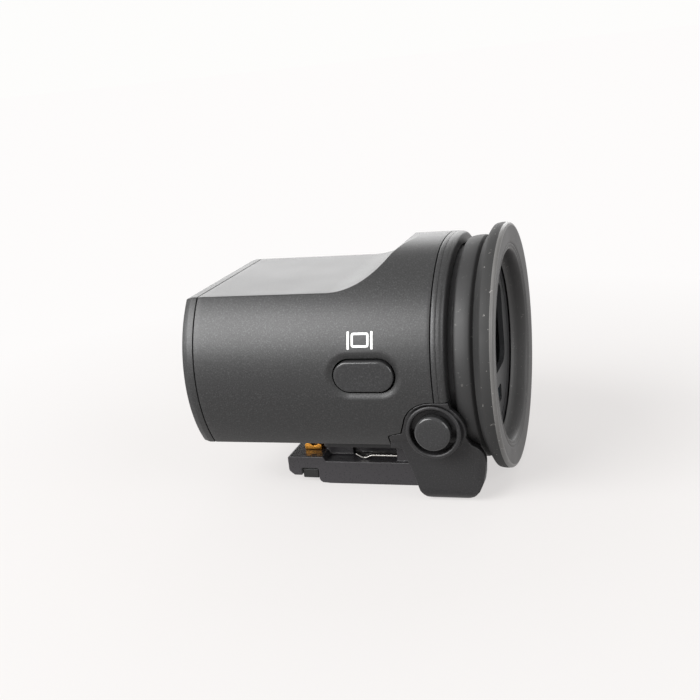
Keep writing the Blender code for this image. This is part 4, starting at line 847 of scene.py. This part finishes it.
def make_boss_rims(metal):
    """The rounded rim of each boss, and the plain disc in the far one."""
    rim = [(3.36, -16.3), (3.36, -17.1)]
    rim += [(r, -17.16 - rise) for r, rise in arc((3.72, 0.0), 0.36, 180, 0, 12)]
    rim += [(4.12, -16.9), (4.2, -16.3), (4.2, -15.6), (3.36, -15.6)]
    for side, sign in (("near", 1), ("far", -1)):
        profile = [(r, sign * y) for r, y in rim]
        ring = lathe_y(f"boss_rim_{side}", profile, BOSS, metal, wrap=True)
        show(ring, "viewfinder", "bracket_metal")
    disc = lathe_y("far_boss_disc", [(3.4, 15.0), (3.4, 16.9), (3.3, 17.0), (0.01, 17.02)],
                   BOSS, metal)
    show(disc, "viewfinder", "bracket_metal")


# Rings behind the housing, and the eyecup

RING_STEPS = 200
RING_FRONT = 14.46
COVER_FRONT = 15.2
COVER_BACK = 16.4
COVER_R = 17.96
COVER_ROUND = 0.85
BARREL_R = 12.4

EYECUP_STEPS = 240
RIM_ROUND = 0.52
BAND, FACE, EDGE_HIGHLIGHT, FLARE_SHADE = 1, 2, 3, 4  # the eyecup's further looks, by material index; the lighter rim rounding is a painted highlight and the darker flare wall is painted shade
EDGE_HIGHLIGHT_R, EDGE_HIGHLIGHT_X = 18.1, 22.84  # each look starts past its radius and x
BAND_R = 18.5
FLARE_SHADE_R, FLARE_SHADE_X = 16.4, (19.8, 21.4)
FACE_X = 22.7
BOWL_R, BOWL_X = 15.0, 20.4  # the bowl lies inside its radius


def fit_ring(ring, node):
    """Cuts the ears' rooms into a ring behind the housing, and shows it."""
    boolean(ring, "DIFFERENCE", *ear_rooms(SEAM))
    lower_crest(ring)
    smooth_shade(ring)
    show(ring, "viewfinder", "housing_metal", node)


def make_rings():
    metal = MATERIALS["housing_metal"]
    fit_ring(lathe("rear_frame_shell", [
        (BARREL_R, 19.1), (BARREL_R, 15.19), (17.9, 15.19), (17.955, 15.17), (17.985, 15.12),
        (BODY_R, 15.0), (BODY_R, 14.56), (17.97, 14.5), (17.9, RING_FRONT), (BARREL_R, RING_FRONT),
        (BARREL_R, 11.4), (8.6, 11.4), (8.6, 12.2), (11.6, 12.2), (11.6, 19.1),
    ], metal, RING_STEPS), "rear_frame")
    curve = arc((COVER_R - COVER_ROUND, COVER_BACK - COVER_ROUND), COVER_ROUND, 90, 0, 10)
    fit_ring(lathe("rear_cover_shell", [
        (15.9, COVER_BACK), (15.95, COVER_BACK), *curve, (COVER_R, 15.21), (17.94, COVER_FRONT),
        (16.6, COVER_FRONT), (16.6, 15.73), (15.9, 15.73),
    ], metal, RING_STEPS), "rear_cover")


def eyecup_look(radius, x):
    """Which of the eyecup's looks a face has: 0 is the smooth flank."""
    # the rim's rounding: lighter rubber as a painted highlight
    if radius > EDGE_HIGHLIGHT_R and x > EDGE_HIGHLIGHT_X:
        return EDGE_HIGHLIGHT
    if radius > BAND_R:
        return BAND
    # the flare wall: darker rubber as painted shade
    if radius > FLARE_SHADE_R and FLARE_SHADE_X[0] < x < FLARE_SHADE_X[1]:
        return FLARE_SHADE
    if x > FACE_X or (radius < BOWL_R and x > BOWL_X):
        return FACE
    return 0


def make_eyecup():
    flank = [
        (15.9, 20.5), (15.9, 17.2), (16.2, 17.2), (16.5, 17.3), (16.68, 17.45), (16.8, 17.65),
        (16.88, 18.0), (16.95, 18.4), (16.99, 18.9), (17.0, 19.5), (16.94, 19.72), (16.78, 19.9),
        (16.56, 20.04), (16.48, 20.14), (16.6, 20.24),
    ]
    band = [
        (16.95, 20.34), (17.18, 20.5), (17.38, 20.66), (17.62, 20.82), (17.9, 21.0),
        (18.17, 21.16), (18.4, 21.32), (18.52, 21.42), (18.58, 21.52), (18.66, 21.9),
        (18.7, 22.25), (18.7, 22.5), (18.68, 22.85),
    ]
    rim = arc((18.16, 22.88), RIM_ROUND, 2, 90, 8)
    front = [(17.3, 23.36), (16.6, 23.28), (15.95, 23.2), (15.7, 23.16)]
    lips = [
        (15.62, 23.08), (15.55, 23.02), (15.46, 23.05), (15.38, 23.12), (15.25, 23.14),
        (15.12, 23.1), (15.05, 23.0), (14.98, 22.98), (14.9, 23.04), (14.78, 23.06),
        (14.66, 23.0), (14.58, 22.86),
    ]
    bowl = [(14.5, 22.6), (14.42, 22.2), (14.34, 21.6), (14.28, 21.0), (14.1, 20.7), (13.9, 20.5)]
    cup = lathe("eyecup_shell", flank + band + rim + front + lips + bowl, MATERIALS["rubber"],
                EYECUP_STEPS)
    smooth_shade(cup, 50.0)
    # The rim's rounding gets a lighter rubber as a painted highlight, and the flare wall a darker
    # one as painted shade.
    for name in ("rubber_band", "rubber_face", "rubber_edge_highlight", "rubber_flare_shade"):
        cup.data.materials.append(MATERIALS[name])
    for face in cup.data.polygons:
        radius = math.hypot(face.center.y / MM, face.center.z / MM - AXIS_Z)
        face.material_index = eyecup_look(radius, face.center.x / MM)
    show(cup, "dioptre_dial", "rubber", "eyecup")


# Buttons

def polished_edge(obj, outer, inner):
    """Polishes the faces whose middle lies between two y."""
    obj.data.materials.append(MATERIALS["polished_black"])
    for face in obj.data.polygons:
        if outer * MM < face.center.y < inner * MM:
            face.material_index = 1


def make_pill():
    levels = [  # how far in from the outline, and y
        (0.0, -16.1), (0.0, -17.84), (0.02, -17.89), (0.07, -17.96), (0.15, -18.03),
        (0.21, -18.06), (0.27, -18.075), (0.6, -18.08), (1.2, -18.075), (2.0, -18.07),
    ]
    rings = [[(x, y, z) for x, z in pill_outline(-inset)] for inset, y in levels]
    button = loft("monitor_button_shell", rings, MATERIALS["button_black"])
    smooth_shade(button, 40.0)
    polished_edge(button, -18.065, -17.86)
    show(button, "monitor_button", "button_black", "monitor_button")


def make_release():
    profile = [
        (1.0, -15.35), (1.0, -16.9), (2.5, -16.9), (2.62, -17.0), (2.62, -17.86), (2.59, -17.93),
        (2.5, -18.04), (2.4, -18.13), (2.33, -18.17), (2.25, -18.19), (1.6, -18.2), (0.8, -18.195),
        (0.02, -18.19),
    ]
    button = lathe_y("release_button_shell", profile, BOSS, MATERIALS["button_black"])
    smooth_shade(button, 40.0)
    polished_edge(button, -18.16, -17.88)
    show(button, "release_button", "button_black", "release_button")


# The pictogram above the pill button, painted on the housing

PAINT_UNDER, PAINT_OVER = 0.02, 0.015  # how far the paint reaches into and out of the side
FRAME_MIDDLE = (4.2, 6.22)  # x, and height above the axis
BAR_HEIGHT = 6.18  # above the axis
BARS = (("left", 2.42), ("right", 5.95))


def painted(name, outline, hole=None):
    """A thin patch of paint that follows the round side, from (x, height above the axis)."""
    paint = MATERIALS["white_paint"]
    patch = slab(name, [(x, AXIS_Z + z) for x, z in outline], "Y", -19.0, -12.0, paint)
    if hole:
        boolean(patch, "DIFFERENCE",
                slab("hole", [(x, AXIS_Z + z) for x, z in hole], "Y", -20.0, -11.0, paint))
    low, high = BODY_R - PAINT_UNDER, BODY_R + PAINT_OVER
    boolean(patch, "INTERSECT",
            lathe("skin", [(low, -1.0), (low, 9.0), (high, 9.0), (high, -1.0)], paint, 480))
    smooth_shade(patch)
    show(patch, "viewfinder", "housing_metal")


def make_pictogram():
    for name, x in BARS:
        painted(f"pictogram_bar_{name}", rounded_rectangle((x, BAR_HEIGHT), 0.34, 2.45, 0.1, 3))
    painted(
        "pictogram_frame", rounded_rectangle(FRAME_MIDDLE, 2.66, 2.0, 0.35, 5),
        rounded_rectangle(FRAME_MIDDLE, 2.0, 1.38, 0.12, 5),
    )


# Foot, with its lever, springs, contacts and base plate

FOOT_HALF = 9.3
FOOT_BACK = 10.4
FOOT_FRONT = -12.5
NECK_HALF = 6.25
NECK_BACK = 10.1
NECK_TOP = 7.15
PLATE_TOP = 3.75
NOSE_TOP = 4.45
BLOCK_HALF = 8.75
NOTCH_WALL = 0.25
POCKET_Y = (5.4, 9.0)  # distances from the middle plane, as in the next two
SLOT_Y = (6.4, 8.3)
SPRING_Y = (6.6, 8.2)
POCKET_BACK = 5.5
FLEX_ROOM_HALF = 2.9
SPRING_THICKNESS = 0.24

SCREWS = [(x, y) for x in (-3.4, 6.4) for y in (-4.3, 4.3)]
SCREW_ROOM = [(1.4, -1.0), (1.4, 1.2), (0.75, 1.2), (0.75, 9.0)]  # (radius, z), head and shank
SCREW_HOLE = [(0.72, 5.0), (0.72, 9.0)]  # in the base plate

LEVER_AXIS = (1.4, 1.85)  # (x, z)
LEVER_HALF = 1.9
TUNNEL_HALF = 2.2
TONGUE_LENGTH = 2.55
TONGUE_TOP = 2.28

CONTACT_PITCH = 2.75
CONTACT_HALF = 0.95


def make_foot():
    plastic = MATERIALS["foot_plastic"]
    side = rounded([
        (FOOT_BACK, 0.0), (FOOT_BACK, PLATE_TOP), (-6.2, PLATE_TOP), (-6.45, NOSE_TOP),
        (FOOT_FRONT, NOSE_TOP), (FOOT_FRONT, 2.0), (-11.7, 1.28), (-10.32, 1.22), (-10.32, 2.46),
        (-7.52, 2.46), (-7.52, 0.72), (-7.3, 0.3), (-6.9, 0.08), (-6.0, 0.0),
    ], [0.3, 0.2, 0.2, 0.25, 0.3, 0.5, 0.3, 0.08, 0.0, 0.0, 0.08, 0.15, 0.2, 0.3], 4)
    foot = slab("shoe_foot_shell", side, "Y", -FOOT_HALF, FOOT_HALF, plastic)
    boolean(
        foot, "UNION",
        middle_box("neck", NECK_HALF, (-6.9, NECK_BACK), (2.9, NECK_TOP), plastic),
        middle_box("rear_block", BLOCK_HALF, (POCKET_BACK, NECK_BACK), (2.9, NECK_TOP), plastic),
    )
    rooms = [
        middle_box("notch_room", FOOT_HALF - NOTCH_WALL, (-10.35, -7.5), (-1.0, 2.85), plastic),
        middle_box("lever_tunnel", TUNNEL_HALF, (-9.55, 11.4), (0.6, 3.1), plastic),
        middle_box("flex_slot", FLEX_ROOM_HALF, (-3.5, -2.6), (PLATE_TOP, 9.0), plastic),
    ]
    for sign in (-1, 1):
        low, high = on_side(sign, *POCKET_Y)
        rooms.append(
            box("pocket", (-2.3, low, PLATE_TOP + 0.02), (POCKET_BACK, high, 6.6), plastic))
        low, high = on_side(sign, *SLOT_Y)
        rooms.append(box("spring_slot", (5.0, low, 3.95), (8.8, high, 4.85), plastic))
    boolean(foot, "DIFFERENCE", *rooms)
    for place in SCREWS:
        boolean(foot, "DIFFERENCE", lathe_z("screw_room", SCREW_ROOM, place, plastic))
    remeshed(foot, 0.12, 2)
    show(foot, "viewfinder", "bracket_metal", "shoe_foot")


def make_lever():
    metal = MATERIALS["lever_metal"]
    (x_low, y_low, z_low), (x_high, y_high, _) = node_box("lock_lever")
    outline = rounded([
        (x_low, z_low + 0.15), (x_low + TONGUE_LENGTH, z_low + 0.1),
        (x_low + TONGUE_LENGTH, TONGUE_TOP), (x_low, TONGUE_TOP),
    ], [0.08] * 4, 3)
    lever = slab("lock_lever_shell", outline, "Y", y_low, y_high, metal)
    boolean(
        lever, "UNION",
        middle_box("bar", LEVER_HALF, (x_low + 1.25, x_high), (1.25, 2.45), metal),
        lathe_y("hub", [(0.9, -LEVER_HALF), (0.9, LEVER_HALF)], LEVER_AXIS, metal, 32),
    )
    boolean(lever, "DIFFERENCE",
            lathe_y("bore", [(0.6, -3.0), (0.6, 3.0)], LEVER_AXIS, metal, 32))
    remeshed(lever, 0.1, 2)
    show(lever, "lock_lever", "steel", "lock_lever")


def make_springs():
    line = [
        (-1.35, 4.5), (-1.15, 4.42), (-0.8, 4.2), (-0.4, 3.98), (-0.05, 3.88), (0.3, 3.9),
        (0.6, 4.02), (0.95, 4.2), (1.3, 4.28), (1.8, 4.3), (5.0, 4.3), (7.6, 4.3), (8.3, 4.2),
    ]
    top = [(x, z + SPRING_THICKNESS) for x, z in reversed(line)]
    for name, sign in (("near", -1), ("far", 1)):
        low, high = on_side(sign, *SPRING_Y)
        spring = slab(f"shoe_spring_{name}_shell", line + top, "Y", low, high, MATERIALS["steel"])
        bevelled(spring, 0.05, 2, 50.0)
        smooth_shade(spring, 50.0)
        show(spring, "viewfinder", "steel", f"shoe_spring_{name}")


def make_contacts():
    side = [
        (-10.45, 4.44), (-10.45, 5.2), (-10.35, 5.45), (-10.1, 5.62), (-9.75, 5.66),
        (-9.45, 5.55), (-9.2, 5.32), (-8.95, 5.2), (-8.65, 5.22), (-8.4, 5.36), (-8.15, 5.52),
        (-7.9, 5.56), (-7.7, 5.45), (-7.6, 5.2), (-7.6, 4.44),
    ]
    for i in range(5):
        middle = (i - 2) * CONTACT_PITCH
        contact = slab(f"shoe_contact_{i + 1}_shell", side, "Y", middle - CONTACT_HALF,
                       middle + CONTACT_HALF, MATERIALS["gold"])
        bevelled(contact, 0.12, 3, 60.0)
        smooth_shade(contact, 40.0)
        show(contact, "viewfinder", "gold", f"shoe_contact_{i + 1}")


def make_base_plate():
    metal = MATERIALS["bracket_metal"]
    (x_low, y_low, z_low), (x_high, y_high, _) = node_box("base_plate")
    outline = rounded([(x_low, y_low), (x_high, y_low), (x_high, y_high), (x_low, y_high)],
                      [1.0, 0.2, 0.2, 1.0], 6)
    plate = slab("base_plate_shell", outline, "Z", z_low, AXIS_Z + BOTTOM_FLAT - SEAM, metal)
    for place in SCREWS:
        boolean(plate, "DIFFERENCE", lathe_z("screw_hole", SCREW_HOLE, place, metal))
    boolean(plate, "DIFFERENCE",
            middle_box("flex_room", FLEX_ROOM_HALF, (-3.6, -2.5), (5.0, 10.0), metal))
    bevelled(plate, 0.1, 2, 50.0)
    smooth_shade(plate)
    show(plate, "viewfinder", "bracket_metal", "base_plate")


aim_camera()
set_world()
make_floor()
for light in LIGHTS:
    area_light(*light)
dress_nodes()
make_housing()
make_cap()
make_rings()
make_eyecup()
make_bracket()
make_pill()
make_release()
make_pictogram()
make_foot()
make_lever()
make_springs()
make_contacts()
make_base_plate()

bpy.context.scene.view_settings.view_transform = "Standard"
